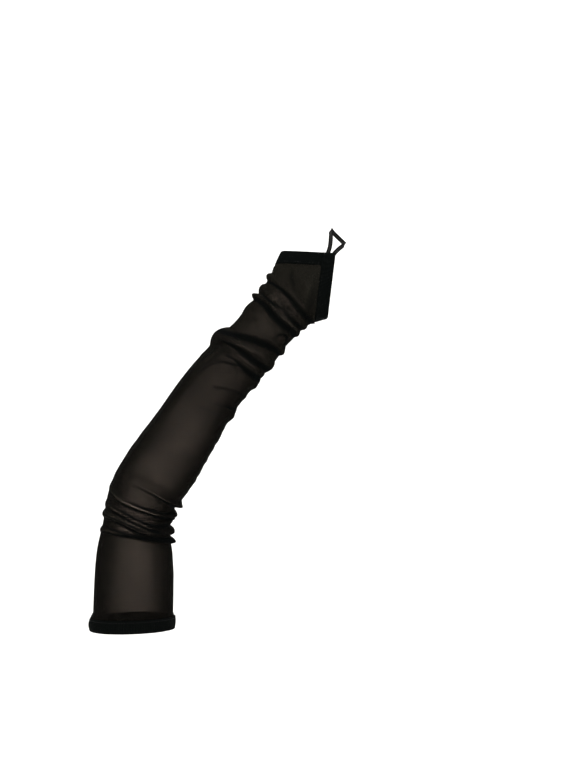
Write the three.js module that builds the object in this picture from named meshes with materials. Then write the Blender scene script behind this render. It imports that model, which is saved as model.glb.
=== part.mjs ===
// A long evening mitten for the left arm, in sheer black stretch mesh, in the shape that a bent arm gives
// it. One thin sleeve runs from the upper arm over the elbow and the wrist to the back of the hand. A
// doubled hem closes the arm opening. At the hand the opening is cut to a point over the middle knuckle:
// one hem follows the knuckles and the palm, a second one runs down the thumb side, and a narrow loop at
// the point takes the middle finger. The origin is the middle of the arm opening, +Z is up, the back of the
// hand faces -Y and the thumb side is +X.
import * as THREE from 'three';
import { ParametricGeometry } from 'three/addons/geometries/ParametricGeometry.js';
import { mergeVertices } from 'three/addons/utils/BufferGeometryUtils.js';

// The arm's line, in millimetres, and how far each leg of it leans from upright towards +X, in degrees.
const upperArmLength = 137.5; // from the arm opening to the elbow's corner
const forearmLength = 215; // from the elbow's corner to the wrist's corner
const handLength = 118; // from the wrist's corner to the point over the middle knuckle
const upperArmLean = 1.3;
const forearmLean = 35.3;
const handLean = 43.3;
const elbowBendRadius = 75;
const wristBendRadius = 100;

// Widths are across the photographed side of the arm, depths are through it.
const upperArmWidth = 82.5;
const upperArmDepth = 84;
const elbowWidth = 70;
const elbowDepth = 78;
const forearmWidth = 75.5;
const forearmDepth = 74;
const wristWidth = 56.5;
const wristDepth = 43;
const handWidth = 88;
const handDepth = 39;
const handOffset = 6; // of the wrist and hand from the arm's line, towards the thumb

// Cloth, hems and loop.
const meshThickness = 1.5;
const hemThickness = 2.4;
const seamGap = 0.4; // between neighbouring pieces
const armHemWidth = 14;
const handHemWidth = 13.5;
const pointOffset = 6.3; // of the point from the hand's line, towards the thumb
const knuckleEdgeAngle = 40.3; // of the edge on the little finger's side, from square across the hand
const thumbEdgeAngle = 53.8; // of the edge on the thumb's side
const loopStrapWidth = 3.9;
const loopStrapThickness = 1.6;
const loopLean = 32.6; // of the middle finger, from upright towards +X
const loopRiseOuter = 19; // from the point to the web on the little finger's side
const loopRiseInner = 14; // from the point to the web on the thumb's side
const loopHalfWidth = 10.4;
const loopHalfDepth = 10;
const loopCorner = 2.8; // the power of the loop's rounded outline
const loopOffset = -7.5; // of the loop's middle from the point, towards the thumb
const outerFootOffset = -6.7; // of the loop's two ends from the point
const innerFootOffset = -1.6;
const loopTabLength = 6; // of each end, sewn behind the hem
const foldHeight = 5.5; // of the tallest gather
const foldWidth = 10.5; // of an ordinary gather, from valley to valley
const puckerHeight = 1.1; // along the seam on the inner side of the arm
const puckerPitch = 13;

// Steps round the sleeve: over the back of the hand on each side of the point, and over the palm side.
const stepsToThumb = 6;
const stepsToFinger = 8;
const stepsOverPalm = 14;
const longestStep = 10.5; // between two rings of the sleeve where it is smooth
const shortestStep = 2.1;

const radians = THREE.MathUtils.degToRad;

// The arm's line is three straight legs joined by two arcs. Each corner's arc shortens both its legs.
const elbowTurn = radians(forearmLean - upperArmLean);
const wristTurn = radians(handLean - forearmLean);
const elbowTangent = elbowBendRadius * Math.tan(elbowTurn / 2);
const wristTangent = wristBendRadius * Math.tan(wristTurn / 2);
const legs = [
  { length: upperArmLength - elbowTangent, lean: radians(upperArmLean), turn: 0 },
  { length: elbowBendRadius * elbowTurn, lean: radians(upperArmLean), turn: elbowTurn },
  { length: forearmLength - elbowTangent - wristTangent, lean: radians(forearmLean), turn: 0 },
  { length: wristBendRadius * wristTurn, lean: radians(forearmLean), turn: wristTurn },
  { length: handLength - wristTangent, lean: radians(handLean), turn: 0 },
];
const sleeveLength = legs.reduce((sum, leg) => sum + leg.length, 0);

// Walks the legs to the given distance from the arm opening. Past the last leg the line runs straight on.
function lineAt(distance) {
  const point = { x: 0, z: 0, lean: legs[0].lean };
  let left = distance;
  legs.forEach((leg, index) => {
    const isLast = index === legs.length - 1;
    const step = isLast ? left : Math.min(left, leg.length);
    const turned = (leg.turn * step) / leg.length;
    const chord = leg.turn ? (2 * leg.length * Math.sin(turned / 2)) / leg.turn : step;
    point.x += chord * Math.sin(leg.lean + turned / 2);
    point.z += chord * Math.cos(leg.lean + turned / 2);
    if (step > 0 || index === 0) point.lean = leg.lean + turned;
    left -= step;
  });
  return point;
}

// Sections of the smooth sleeve. at is the share of the line from the arm opening to the point of the hand,
// corner is the power of the rounded outline, where 2 is an ellipse and more is squarer, and shift is the
// share of handOffset by which the section lies beside the arm's line.
const sections = [
  { at: 0.0, width: upperArmWidth, depth: upperArmDepth, corner: 2, shift: -0.1 },
  { at: 0.123, width: upperArmWidth * 0.985, depth: upperArmDepth, corner: 2, shift: -0.08 },
  { at: 0.172, width: upperArmWidth * 0.945, depth: upperArmDepth * 0.98, corner: 2, shift: -0.1 },
  { at: 0.199, width: upperArmWidth * 0.895, depth: upperArmDepth * 0.965, corner: 2, shift: -0.1 },
  { at: 0.233, width: elbowWidth * 0.985, depth: upperArmDepth * 0.945, corner: 2, shift: 0.08 },
  { at: 0.26, width: elbowWidth * 0.955, depth: elbowDepth, corner: 2, shift: 0.2 },
  { at: 0.291, width: elbowWidth * 0.985, depth: elbowDepth * 0.99, corner: 2, shift: 0.3 },
  { at: 0.344, width: forearmWidth * 0.955, depth: forearmDepth * 1.02, corner: 2, shift: 0.5 },
  { at: 0.398, width: forearmWidth * 0.98, depth: forearmDepth, corner: 2, shift: 0.38 },
  { at: 0.451, width: forearmWidth * 0.925, depth: forearmDepth * 0.95, corner: 2, shift: 0.28 },
  { at: 0.504, width: forearmWidth * 0.9, depth: forearmDepth * 0.89, corner: 2, shift: 0.05 },
  { at: 0.557, width: forearmWidth * 0.87, depth: forearmDepth * 0.82, corner: 2, shift: -0.15 },
  { at: 0.61, width: forearmWidth * 0.845, depth: forearmDepth * 0.75, corner: 2.05, shift: -0.1 },
  { at: 0.666, width: forearmWidth * 0.82, depth: forearmDepth * 0.67, corner: 2.1, shift: 0.28 },
  { at: 0.692, width: wristWidth * 1.07, depth: wristDepth * 1.1, corner: 2.1, shift: 0.55 },
  { at: 0.719, width: wristWidth * 1.04, depth: wristDepth * 1.04, corner: 2.15, shift: 0.85 },
  { at: 0.747, width: wristWidth, depth: wristDepth, corner: 2.2, shift: 1.05 },
  { at: 0.776, width: wristWidth, depth: wristDepth * 0.98, corner: 2.2, shift: 0.85 },
  { at: 0.803, width: wristWidth * 1.01, depth: wristDepth * 0.97, corner: 2.2, shift: 0.85 },
  { at: 0.839, width: handWidth * 0.68, depth: handDepth * 1.06, corner: 2.25, shift: 0.8 },
  { at: 0.867, width: handWidth * 0.79, depth: handDepth * 1.05, corner: 2.3, shift: 1.12 },
  { at: 0.889, width: handWidth * 0.89, depth: handDepth * 1.04, corner: 2.35, shift: 1.3 },
  { at: 0.923, width: handWidth * 0.95, depth: handDepth, corner: 2.4, shift: 0.95 },
  { at: 1.0, width: handWidth, depth: handDepth * 0.87, corner: 2.4, shift: 0.7 },
];

// Gathers round the sleeve, from the arm opening up. at is the share of the line. lean is the turn of the
// gather from square across, in degrees, positive where its inner side lies nearer to the hand. height and
// width are shares of foldHeight and foldWidth, and the last four columns are shares of the height on each
// side of the arm.
const folds = [
  { at: 0.0192, lean: 3, height: 0.75, width: 2.5, inner: 0.4, front: 0.15, outer: 1.0, back: 0.3 },
  { at: 0.1637, lean: 0, height: 0.0, width: 1.0, inner: 0, front: 0, outer: 0, back: 0 },
  { at: 0.2121, lean: -8, height: 1.0, width: 0.9, inner: 0.95, front: 0.45, outer: 0.1, back: 0.5 },
  { at: 0.2382, lean: -13.5, height: 1.0, width: 0.95, inner: 1.0, front: 0.4, outer: 0.55, back: 0.45 },
  { at: 0.2791, lean: -4, height: 0.95, width: 1.0, inner: 1.0, front: 0.4, outer: 0.1, back: 0.5 },
  { at: 0.327, lean: 0, height: 0.9, width: 1.1, inner: 1.0, front: 0.3, outer: 0.0, back: 0.35 },
  { at: 0.4055, lean: 0, height: 0.0, width: 1.0, inner: 0, front: 0, outer: 0, back: 0 },
  { at: 0.576, lean: -2, height: 0.6, width: 1.2, inner: 1.0, front: 0.1, outer: 0.0, back: 0.5 },
  { at: 0.62, lean: 0, height: 0.0, width: 1.0, inner: 0, front: 0, outer: 0, back: 0 },
  { at: 0.6645, lean: 2, height: 0.65, width: 1.0, inner: 0.9, front: 0.4, outer: 0.1, back: 0.5 },
  { at: 0.697, lean: 13, height: 0.7, width: 1.0, inner: 0.9, front: 0.55, outer: 0.2, back: 0.6 },
  { at: 0.7225, lean: 23.5, height: 1.25, width: 1.3, inner: 0.5, front: 0.5, outer: 1.0, back: 0.5 },
  { at: 0.8052, lean: -3, height: 0.8, width: 0.95, inner: 0.45, front: 0.5, outer: 0.85, back: 0.5 },
  { at: 0.8273, lean: 2, height: 0.6, width: 0.7, inner: 0.7, front: 0.5, outer: 0.1, back: 0.4 },
  { at: 0.85, lean: -5, height: 0.7, width: 0.68, inner: 0.6, front: 0.55, outer: 0.7, back: 0.5 },
  { at: 0.8576, lean: -5, height: 0.0, width: 1.0, inner: 0, front: 0, outer: 0, back: 0 },
];

// Reads one column of a table at a share of the line, along a smooth curve through the rows.
function column(rows, key, share) {
  const last = rows.length - 1;
  if (share <= rows[0].at) return rows[0][key];
  if (share >= rows[last].at) return rows[last][key];
  const low = rows.findLastIndex((row) => row.at <= share);
  const slope = (index) => {
    const before = rows[Math.max(index - 1, 0)];
    const after = rows[Math.min(index + 1, last)];
    return (after[key] - before[key]) / (after.at - before.at);
  };
  const span = rows[low + 1].at - rows[low].at;
  const t = (share - rows[low].at) / span;
  const [t2, t3] = [t * t, t * t * t];
  return (
    (2 * t3 - 3 * t2 + 1) * rows[low][key] +
    (t3 - 2 * t2 + t) * span * slope(low) +
    (3 * t2 - 2 * t3) * rows[low + 1][key] +
    (t3 - t2) * span * slope(low + 1)
  );
}

// Angles run round the sleeve: 0 is the inner, thumb side, a quarter turn is the front, which is the back of
// the hand, and a half turn is the outer side.
function sideShare(row, angle) {
  const [across, forward] = [Math.cos(angle), Math.sin(angle)];
  return (
    (across > 0 ? row.inner : row.outer) * across * across +
    (forward > 0 ? row.front : row.back) * forward * forward
  );
}

// How far the gathers and the seam's puckers lift the cloth off the smooth sleeve.
function clothLift(distance, angle) {
  let lift = 0;
  for (const fold of folds) {
    const half = (fold.width * foldWidth) / 2;
    const away = (distance - fold.at * sleeveLength) / half;
    if (Math.abs(away) >= 1) continue;
    const crest = (1 + Math.cos(Math.PI * away)) / 2;
    lift += fold.height * foldHeight * sideShare(fold, angle) * crest;
  }
  const alongSeam = distance / sleeveLength;
  const { smoothstep } = THREE.MathUtils;
  const onForearm = smoothstep(alongSeam, 0.34, 0.4) - smoothstep(alongSeam, 0.64, 0.7);
  const nearSeam = Math.pow(Math.max(Math.cos(angle), 0), 4);
  const pucker = (1 + Math.sin((2 * Math.PI * distance) / puckerPitch)) / 2;
  return lift + onForearm * nearSeam * puckerHeight * pucker;
}

function halfWidthAt(distance) {
  return column(sections, 'width', distance / sleeveLength) / 2;
}

// How far a point at the given angle lies beside the arm's line, towards the thumb.
function besideAt(distance, angle) {
  const share = distance / sleeveLength;
  const power = 2 / column(sections, 'corner', share);
  const across = Math.cos(angle);
  const shift = column(sections, 'shift', share) * handOffset;
  return Math.sign(across) * Math.pow(Math.abs(across), power) * halfWidthAt(distance) + shift;
}

// A point of the sleeve's cloth. lift is how far it stands outside the smooth sleeve.
function skinPoint(distance, angle, lift, target) {
  const share = distance / sleeveLength;
  const halfDepth = column(sections, 'depth', share) / 2;
  const power = 2 / column(sections, 'corner', share);
  const [across, forward] = [Math.cos(angle), Math.sin(angle)];
  const outward = new THREE.Vector2(across * halfDepth, forward * halfWidthAt(distance)).normalize();
  const beside = besideAt(distance, angle) + outward.x * lift;
  const front = Math.sign(forward) * Math.pow(Math.abs(forward), power) * halfDepth + outward.y * lift;
  const line = lineAt(distance);
  return target.set(line.x + beside * Math.cos(line.lean), -front, line.z - beside * Math.sin(line.lean));
}

// A ring of the sleeve leans as the gathers beside it do. Its inner side then lies further along the line.
function leaningDistance(distance, angle) {
  const lean = radians(column(folds, 'lean', distance / sleeveLength));
  return distance + Math.tan(lean) * halfWidthAt(distance) * Math.cos(angle);
}

// The opening's edge on the back of the hand is two straight lines that meet at the point. slope is how far
// each runs along the hand for a millimetre towards the thumb, and stretch turns a width square to it into
// one along the hand.
function slantedEdge(degrees, direction) {
  return { slope: direction * Math.tan(radians(degrees)), stretch: 1 / Math.cos(radians(degrees)) };
}

const knuckleEdge = slantedEdge(knuckleEdgeAngle, 1);
const thumbEdge = slantedEdge(thumbEdgeAngle, -1);

// Where a slanted edge, moved back into the cloth by inset, crosses the given angle round the sleeve.
function crossing(edge, angle, inset) {
  let [low, high] = [sleeveLength - handLength, sleeveLength + handWidth];
  for (let step = 0; step < 40; step += 1) {
    const middle = (low + high) / 2;
    const beside = besideAt(middle, angle) - pointOffset;
    if (middle < sleeveLength - inset * edge.stretch + edge.slope * beside) low = middle;
    else high = middle;
  }
  return low;
}

function backEdge(angle, inset) {
  return Math.min(crossing(knuckleEdge, angle, inset), crossing(thumbEdge, angle, inset));
}

// The angle at which the two edges meet when each is moved back by its own inset.
function meetingAngle(knuckleInset, thumbInset) {
  let [low, high] = [0, Math.PI];
  for (let step = 0; step < 40; step += 1) {
    const middle = (low + high) / 2;
    if (crossing(knuckleEdge, middle, knuckleInset) > crossing(thumbEdge, middle, thumbInset)) low = middle;
    else high = middle;
  }
  return low;
}

// On the palm the edge runs plainly from one side of the hand to the other.
function edgeDistance(angle, inset) {
  if (Math.sin(angle) >= 0) return backEdge(angle, inset);
  const towardsFinger = (1 - Math.cos(angle)) / 2;
  const outer = THREE.MathUtils.lerp(backEdge(0, 0), backEdge(Math.PI, 0), towardsFinger);
  const side = Math.cos(angle) > 0 ? 0 : Math.PI;
  const reach = backEdge(side, 0) - backEdge(side, inset);
  return outer - THREE.MathUtils.lerp(inset, reach, Math.cos(angle) * Math.cos(angle));
}

// Every ring of the sleeve has a vertex at the thumb's side, at the inner corner of the hems and at the
// little finger's side, so that the cloth turns its corners there.
const hemReach = handHemWidth + seamGap;

function anglesFrom(thumbSide, corner, end) {
  const angles = [thumbSide];
  for (let step = 1; step <= stepsToThumb; step += 1) {
    angles.push(THREE.MathUtils.lerp(thumbSide, corner, step / stepsToThumb));
  }
  for (let step = 1; step <= stepsToFinger; step += 1) {
    angles.push(THREE.MathUtils.lerp(corner, Math.PI, step / stepsToFinger));
  }
  for (let step = 1; step <= stepsOverPalm; step += 1) {
    angles.push(THREE.MathUtils.lerp(Math.PI, end, step / stepsOverPalm));
  }
  return angles;
}

const ringAngles = anglesFrom(0, meetingAngle(hemReach, hemReach), 2 * Math.PI).slice(0, -1);

// Joins coincident corners, so that the piece is one closed surface.
function closed(geometry) {
  geometry.deleteAttribute('normal');
  geometry.deleteAttribute('uv');
  const merged = mergeVertices(geometry, 1e-4);
  merged.computeVertexNormals();
  return merged;
}

// A ring of cloth: place(angle, along, outside) gives a point of it, for along among the listed rows and
// outside true on its outer face. The inner face is walked up the arm and the outer one back down.
function ringGeometry(rows, place) {
  const walk = [...rows.map((along) => [along, false]), ...rows.toReversed().map((along) => [along, true])];
  const surface = (u, v, target) => {
    const angle = ringAngles[Math.round(u * ringAngles.length) % ringAngles.length];
    const [along, outside] = walk[Math.round(v * walk.length) % walk.length];
    place(angle, along, outside, target);
  };
  return closed(new ParametricGeometry(surface, ringAngles.length, walk.length));
}

// A strip of cloth with two ends: place(along, across, outside) with along and across from 0 to 1.
function stripGeometry(stepsAlong, stepsAcross, place) {
  const geometry = new THREE.BoxGeometry(1, 1, 1, stepsAlong, stepsAcross, 1);
  const position = geometry.getAttribute('position');
  const point = new THREE.Vector3();
  for (let index = 0; index < position.count; index += 1) {
    point.fromBufferAttribute(position, index);
    place(point.x + 0.5, point.y + 0.5, point.z < 0, point);
    position.setXYZ(index, point.x, point.y, point.z);
  }
  return closed(geometry);
}

// Distances of the sleeve's rings: five to each gather, and evenly spread ones between the gathers.
function sleeveRings() {
  const start = armHemWidth + seamGap;
  const end = folds[folds.length - 1].at * sleeveLength;
  const wanted = [start, end];
  for (const fold of folds.filter((row) => row.height > 0)) {
    const half = (fold.width * foldWidth) / 2;
    for (const step of [-1, -0.5, 0, 0.5, 1]) wanted.push(fold.at * sleeveLength + step * half);
  }
  wanted.sort((a, b) => a - b);
  const rings = [start];
  for (const distance of wanted) {
    const gap = distance - rings[rings.length - 1];
    if (gap < shortestStep || distance > end) continue;
    const steps = Math.ceil(gap / longestStep);
    const from = rings[rings.length - 1];
    for (let step = 1; step <= steps; step += 1) rings.push(from + (gap * step) / steps);
  }
  return rings;
}

// The last rings spread from the last gather to the hem, and so turn gradually into the opening's edge.
const ringsToTheHem = 4;

function sleeveGeometry() {
  const rings = sleeveRings();
  const rows = [...Array(rings.length + ringsToTheHem).keys()];
  return ringGeometry(rows, (angle, row, outside, target) => {
    const inside = outside ? 0 : -meshThickness;
    if (row < rings.length) {
      const distance = leaningDistance(rings[row], angle);
      return skinPoint(distance, angle, clothLift(rings[row], angle) + inside, target);
    }
    const start = leaningDistance(rings[rings.length - 1], angle);
    const share = (row - rings.length + 1) / ringsToTheHem;
    const distance = THREE.MathUtils.lerp(start, edgeDistance(angle, hemReach), share);
    return skinPoint(distance, angle, inside, target);
  });
}

// The arm hem is a doubled band, rolled outwards most of all on the outer side of the arm.
const armHemRows = [0, 0.17, 0.34, 0.51, 0.68, 0.84, 1];

function armHemGeometry() {
  const stand = (hemThickness - meshThickness) / 2;
  return ringGeometry(armHemRows, (angle, row, outside, target) => {
    const lift = clothLift(row * armHemWidth, angle) + (outside ? stand : stand - hemThickness);
    skinPoint(leaningDistance(row * armHemWidth, angle), angle, lift, target);
  });
}

// A point of a hand hem at the given distance: the doubled cloth stands off both of the sleeve's faces.
function hemPoint(distance, angle, outside, target) {
  const stand = (hemThickness - meshThickness) / 2;
  return skinPoint(distance, angle, outside ? stand : stand - hemThickness, target);
}

const hemStepsAcross = 2;
const sideGapAngle = seamGap / handWidth; // half the gap between the two hems at the thumb's side

// The knuckles' hem starts beside the thumb's hem at the point, passes round the little finger's side and
// crosses the palm to the thumb's side.
function handHemGeometry() {
  const steps = stepsToFinger + stepsOverPalm;
  return stripGeometry(steps, hemStepsAcross, (along, across, outside, target) => {
    const inset = handHemWidth * (1 - across);
    const corner = meetingAngle(inset, hemReach);
    const angles = anglesFrom(0, corner, 2 * Math.PI - sideGapAngle).slice(stepsToThumb);
    const angle = angles[Math.round(along * steps)];
    hemPoint(edgeDistance(angle, inset), angle, outside, target);
  });
}

// The thumb's hem runs up from the thumb's side to the point, where the knuckles' edge cuts it off.
function thumbHemGeometry() {
  const stepsPastCorner = 3;
  const steps = stepsToThumb + stepsPastCorner;
  return stripGeometry(steps, hemStepsAcross, (along, across, outside, target) => {
    const inset = handHemWidth * (1 - across);
    const corner = meetingAngle(hemReach, inset);
    const angles = anglesFrom(sideGapAngle, corner, 2 * Math.PI).slice(0, stepsToThumb + 1);
    for (let step = 1; step <= stepsPastCorner; step += 1) {
      angles.push(THREE.MathUtils.lerp(corner, meetingAngle(0, inset), step / stepsPastCorner));
    }
    const angle = angles[Math.round(along * steps)];
    hemPoint(crossing(thumbEdge, angle, inset), angle, outside, target);
  });
}

// The loop's middle line: up from behind the hem, to the web beside the finger, round the finger's palm
// side and back down. height is along the finger from the point, aside is across it towards the thumb and
// turn goes round the finger, from its back over the little finger's side.
function loopStations() {
  const [outerFoot, innerFoot] = [outerFootOffset - loopOffset, innerFootOffset - loopOffset];
  const turnAt = (aside) => {
    const share = Math.pow(Math.abs(aside) / loopHalfWidth, loopCorner / 2);
    return -Math.sign(aside) * Math.asin(share);
  };
  const strand = (foot, sign, rise) => {
    const turn = turnAt(foot);
    const stations = [-1, -0.5, 0].map((share) => ({ turn, height: share * loopTabLength }));
    const stepsUp = 6;
    for (let step = 1; step <= stepsUp; step += 1) {
      const spread = Math.sin((Math.PI / 2) * (step / stepsUp));
      const aside = THREE.MathUtils.lerp(foot, sign * loopHalfWidth, spread);
      const share = (aside - foot) / (sign * loopHalfWidth - foot);
      stations.push({ turn: turnAt(aside), height: rise * share });
    }
    return stations;
  };
  const around = [];
  const stepsBehind = 10;
  for (let step = 1; step < stepsBehind; step += 1) {
    const turn = Math.PI * (0.5 + step / stepsBehind);
    const share = (1 + Math.sin(turn)) / 2;
    around.push({ turn, height: THREE.MathUtils.lerp(loopRiseInner, loopRiseOuter, share) });
  }
  return [
    ...strand(outerFoot, -1, loopRiseOuter),
    ...around,
    ...strand(innerFoot, 1, loopRiseInner).toReversed(),
  ];
}

function loopGeometry() {
  const stations = loopStations();
  const point = skinPoint(sleeveLength, meetingAngle(0, 0), 0, new THREE.Vector3());
  const finger = new THREE.Vector3(Math.sin(radians(loopLean)), 0, Math.cos(radians(loopLean)));
  const towardsThumb = new THREE.Vector3(finger.z, 0, -finger.x);
  const middle = point.clone().addScaledVector(towardsThumb, loopOffset);
  middle.y += (hemThickness + meshThickness) / 2 + seamGap + loopStrapThickness / 2 + loopHalfDepth;
  const rounded = (value) => Math.sign(value) * Math.pow(Math.abs(value), 2 / loopCorner);
  const centre = ({ turn, height }) => {
    const place = middle.clone().addScaledVector(finger, height);
    place.addScaledVector(towardsThumb, -loopHalfWidth * rounded(Math.sin(turn)));
    place.y -= loopHalfDepth * rounded(Math.cos(turn));
    return place;
  };
  return stripGeometry(stations.length - 1, 1, (along, across, outside, target) => {
    const index = Math.round(along * (stations.length - 1));
    const { turn, height } = stations[index];
    const before = centre(stations[Math.max(index - 1, 0)]);
    const after = centre(stations[Math.min(index + 1, stations.length - 1)]);
    const outward = new THREE.Vector3();
    if (height > 0) outward.addScaledVector(towardsThumb, -Math.sin(turn) / loopHalfWidth);
    outward.y -= Math.cos(turn) / loopHalfDepth;
    const sideways = after.sub(before).cross(outward).normalize();
    outward.normalize();
    target.copy(centre(stations[index])).addScaledVector(sideways, (across - 0.5) * loopStrapWidth);
    target.addScaledVector(outward, (outside ? 0.5 : -0.5) * loopStrapThickness);
  });
}

const group = new THREE.Group();

const sheerMesh = new THREE.MeshStandardMaterial({ color: 0x24211f, roughness: 0.85, metalness: 0 });
const hemMesh = new THREE.MeshStandardMaterial({ color: 0x0c0e0e, roughness: 0.9, metalness: 0 });
const loopTape = new THREE.MeshStandardMaterial({ color: 0x101111, roughness: 0.8, metalness: 0 });

function piece(name, geometry, material) {
  const mesh = new THREE.Mesh(geometry, material);
  mesh.name = name;
  group.add(mesh);
}

piece('sleeve', sleeveGeometry(), sheerMesh);
piece('arm_hem', armHemGeometry(), hemMesh);
piece('hand_hem', handHemGeometry(), hemMesh);
piece('thumb_hem', thumbHemGeometry(), hemMesh);
piece('finger_loop', loopGeometry(), loopTape);

export default group;
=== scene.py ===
import functools
import math

import bpy
import numpy as np
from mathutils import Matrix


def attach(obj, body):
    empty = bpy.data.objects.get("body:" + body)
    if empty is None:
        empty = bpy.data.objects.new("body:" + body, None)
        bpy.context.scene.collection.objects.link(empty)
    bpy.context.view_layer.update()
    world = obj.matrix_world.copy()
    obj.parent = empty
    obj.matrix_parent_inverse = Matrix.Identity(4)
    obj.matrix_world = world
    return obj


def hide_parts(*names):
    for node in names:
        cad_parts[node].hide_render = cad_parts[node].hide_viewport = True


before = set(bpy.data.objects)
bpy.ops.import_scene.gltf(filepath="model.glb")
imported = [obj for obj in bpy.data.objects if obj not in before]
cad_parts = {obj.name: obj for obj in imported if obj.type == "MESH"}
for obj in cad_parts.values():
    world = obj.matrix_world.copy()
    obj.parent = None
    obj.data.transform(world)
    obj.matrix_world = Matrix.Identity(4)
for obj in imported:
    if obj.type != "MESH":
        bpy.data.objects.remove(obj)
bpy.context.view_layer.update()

MM = 0.001  # the tables are in millimetres, all else in metres

# The camera and the stage.
CAMERA_PLACE = (0.163, -2.13, 0.258)
CAMERA_LENS = 95.06
FLOOR_HEIGHT = -0.30
BACKDROP_DISTANCE = 3.2

# The sleeve's line, in metres and degrees from upright towards +X: three straight legs joined by two arcs.
UPPER_ARM_LENGTH = 0.1375
FOREARM_LENGTH = 0.215
HAND_LENGTH = 0.118
LEANS = np.radians([1.3, 35.3, 43.3])
ELBOW_BEND = 0.075
WRIST_BEND = 0.100

# Sizes of the smooth sleeve.
UPPER_ARM_WIDTH = 0.0825
UPPER_ARM_DEPTH = 0.084
ELBOW_WIDTH = 0.070
ELBOW_DEPTH = 0.078
FOREARM_WIDTH = 0.0755
FOREARM_DEPTH = 0.074
WRIST_WIDTH = 0.0565
WRIST_DEPTH = 0.043
HAND_WIDTH = 0.088
HAND_DEPTH = 0.039
HAND_OFFSET = 0.006

# Cloth, hems and loop.
CLOTH_THICKNESS = 0.0005
HEM_THICKNESS = 0.0018
ARM_HEM_WIDTH = 0.014
HAND_HEM_WIDTH = 0.0135
ARM_HEM_LEAN = math.radians(3)
POINT_OFFSET = 0.0063
KNUCKLE_EDGE_ANGLE = math.radians(40.3)
THUMB_EDGE_ANGLE = math.radians(53.8)
SEAM_ANGLE = math.radians(-12)
LOOP_WIDTH = 0.0046
LOOP_THICKNESS = 0.0011
LOOP_LEAN = math.radians(32.6)
LOOP_RISE_OUTER = 0.019
LOOP_RISE_INNER = 0.014
LOOP_HALF_WIDTH = 0.0104
LOOP_HALF_DEPTH = 0.010
LOOP_CORNER = 2.8
LOOP_OFFSET = -0.0075
LOOP_OUTER_FOOT = -0.0067
LOOP_INNER_FOOT = -0.0016
LOOP_TAB = 0.006
LOOP_BEHIND_HEM = 0.00235

# The flat sleeve, the stitches and the rings of the sleeve.
FLAT_GIRTH = 0.27
STITCH_LENGTH, STITCH_GAP, THREAD_RADIUS = 0.0021, 0.0009, 0.00030
STITCH_INSET = 0.0022  # from a hem's sewn side
STITCH_HEIGHT = 0.00078
SPREAD_START = 0.366  # past it the rings spread into the pointed opening
RING_ROWS = [  # from, to and step
    (0.0136, 0.090, 0.0020), (0.090, 0.165, 0.00058), (0.165, 0.258, 0.0024), (0.258, SPREAD_START, 0.0008)]
SPREAD_ROWS = 90

TURNS = np.diff(LEANS)
ELBOW_TANGENT = ELBOW_BEND * math.tan(TURNS[0] / 2)
WRIST_TANGENT = WRIST_BEND * math.tan(TURNS[1] / 2)
LEG_LENGTHS = [
    UPPER_ARM_LENGTH - ELBOW_TANGENT,
    ELBOW_BEND * TURNS[0],
    FOREARM_LENGTH - ELBOW_TANGENT - WRIST_TANGENT,
    WRIST_BEND * TURNS[1],
    HAND_LENGTH - WRIST_TANGENT,
]
LEG_LEANS = [LEANS[0], LEANS[0], LEANS[1], LEANS[1], LEANS[2]]
LEG_TURNS = [0, TURNS[0], 0, TURNS[1], 0]
SLEEVE_LENGTH = sum(LEG_LENGTHS)

# Sections of the smooth sleeve: share of the line, width, depth, power of the rounded outline, and the share
# of the hand's offset by which the section lies beside the line.
SECTIONS = np.array([
    (0.000, UPPER_ARM_WIDTH, UPPER_ARM_DEPTH, 2.00, -0.10),
    (0.123, UPPER_ARM_WIDTH * 0.985, UPPER_ARM_DEPTH, 2.00, -0.08),
    (0.172, UPPER_ARM_WIDTH * 0.945, UPPER_ARM_DEPTH * 0.98, 2.00, -0.10),
    (0.199, UPPER_ARM_WIDTH * 0.895, UPPER_ARM_DEPTH * 0.965, 2.00, -0.10),
    (0.233, ELBOW_WIDTH * 0.985, UPPER_ARM_DEPTH * 0.945, 2.00, 0.08),
    (0.260, ELBOW_WIDTH * 0.955, ELBOW_DEPTH, 2.00, 0.20),
    (0.291, ELBOW_WIDTH * 0.985, ELBOW_DEPTH * 0.99, 2.00, 0.30),
    (0.344, FOREARM_WIDTH * 0.955, FOREARM_DEPTH * 1.02, 2.00, 0.50),
    (0.398, FOREARM_WIDTH * 0.98, FOREARM_DEPTH, 2.00, 0.38),
    (0.451, FOREARM_WIDTH * 0.925, FOREARM_DEPTH * 0.95, 2.00, 0.28),
    (0.504, FOREARM_WIDTH * 0.90, FOREARM_DEPTH * 0.89, 2.00, 0.05),
    (0.557, FOREARM_WIDTH * 0.87, FOREARM_DEPTH * 0.82, 2.00, -0.15),
    (0.610, FOREARM_WIDTH * 0.845, FOREARM_DEPTH * 0.75, 2.05, -0.10),
    (0.666, FOREARM_WIDTH * 0.82, FOREARM_DEPTH * 0.67, 2.10, 0.28),
    (0.692, WRIST_WIDTH * 1.07, WRIST_DEPTH * 1.10, 2.10, 0.55),
    (0.719, WRIST_WIDTH * 1.04, WRIST_DEPTH * 1.04, 2.15, 0.85),
    (0.747, WRIST_WIDTH, WRIST_DEPTH, 2.20, 1.05),
    (0.776, WRIST_WIDTH, WRIST_DEPTH * 0.98, 2.20, 0.85),
    (0.803, WRIST_WIDTH * 1.01, WRIST_DEPTH * 0.97, 2.20, 0.85),
    (0.839, HAND_WIDTH * 0.68, HAND_DEPTH * 1.06, 2.25, 0.80),
    (0.867, HAND_WIDTH * 0.79, HAND_DEPTH * 1.05, 2.30, 1.12),
    (0.889, HAND_WIDTH * 0.89, HAND_DEPTH * 1.04, 2.35, 1.30),
    (0.923, HAND_WIDTH * 0.95, HAND_DEPTH, 2.40, 0.95),
    (1.000, HAND_WIDTH, HAND_DEPTH * 0.87, 2.40, 0.70),
])

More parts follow.
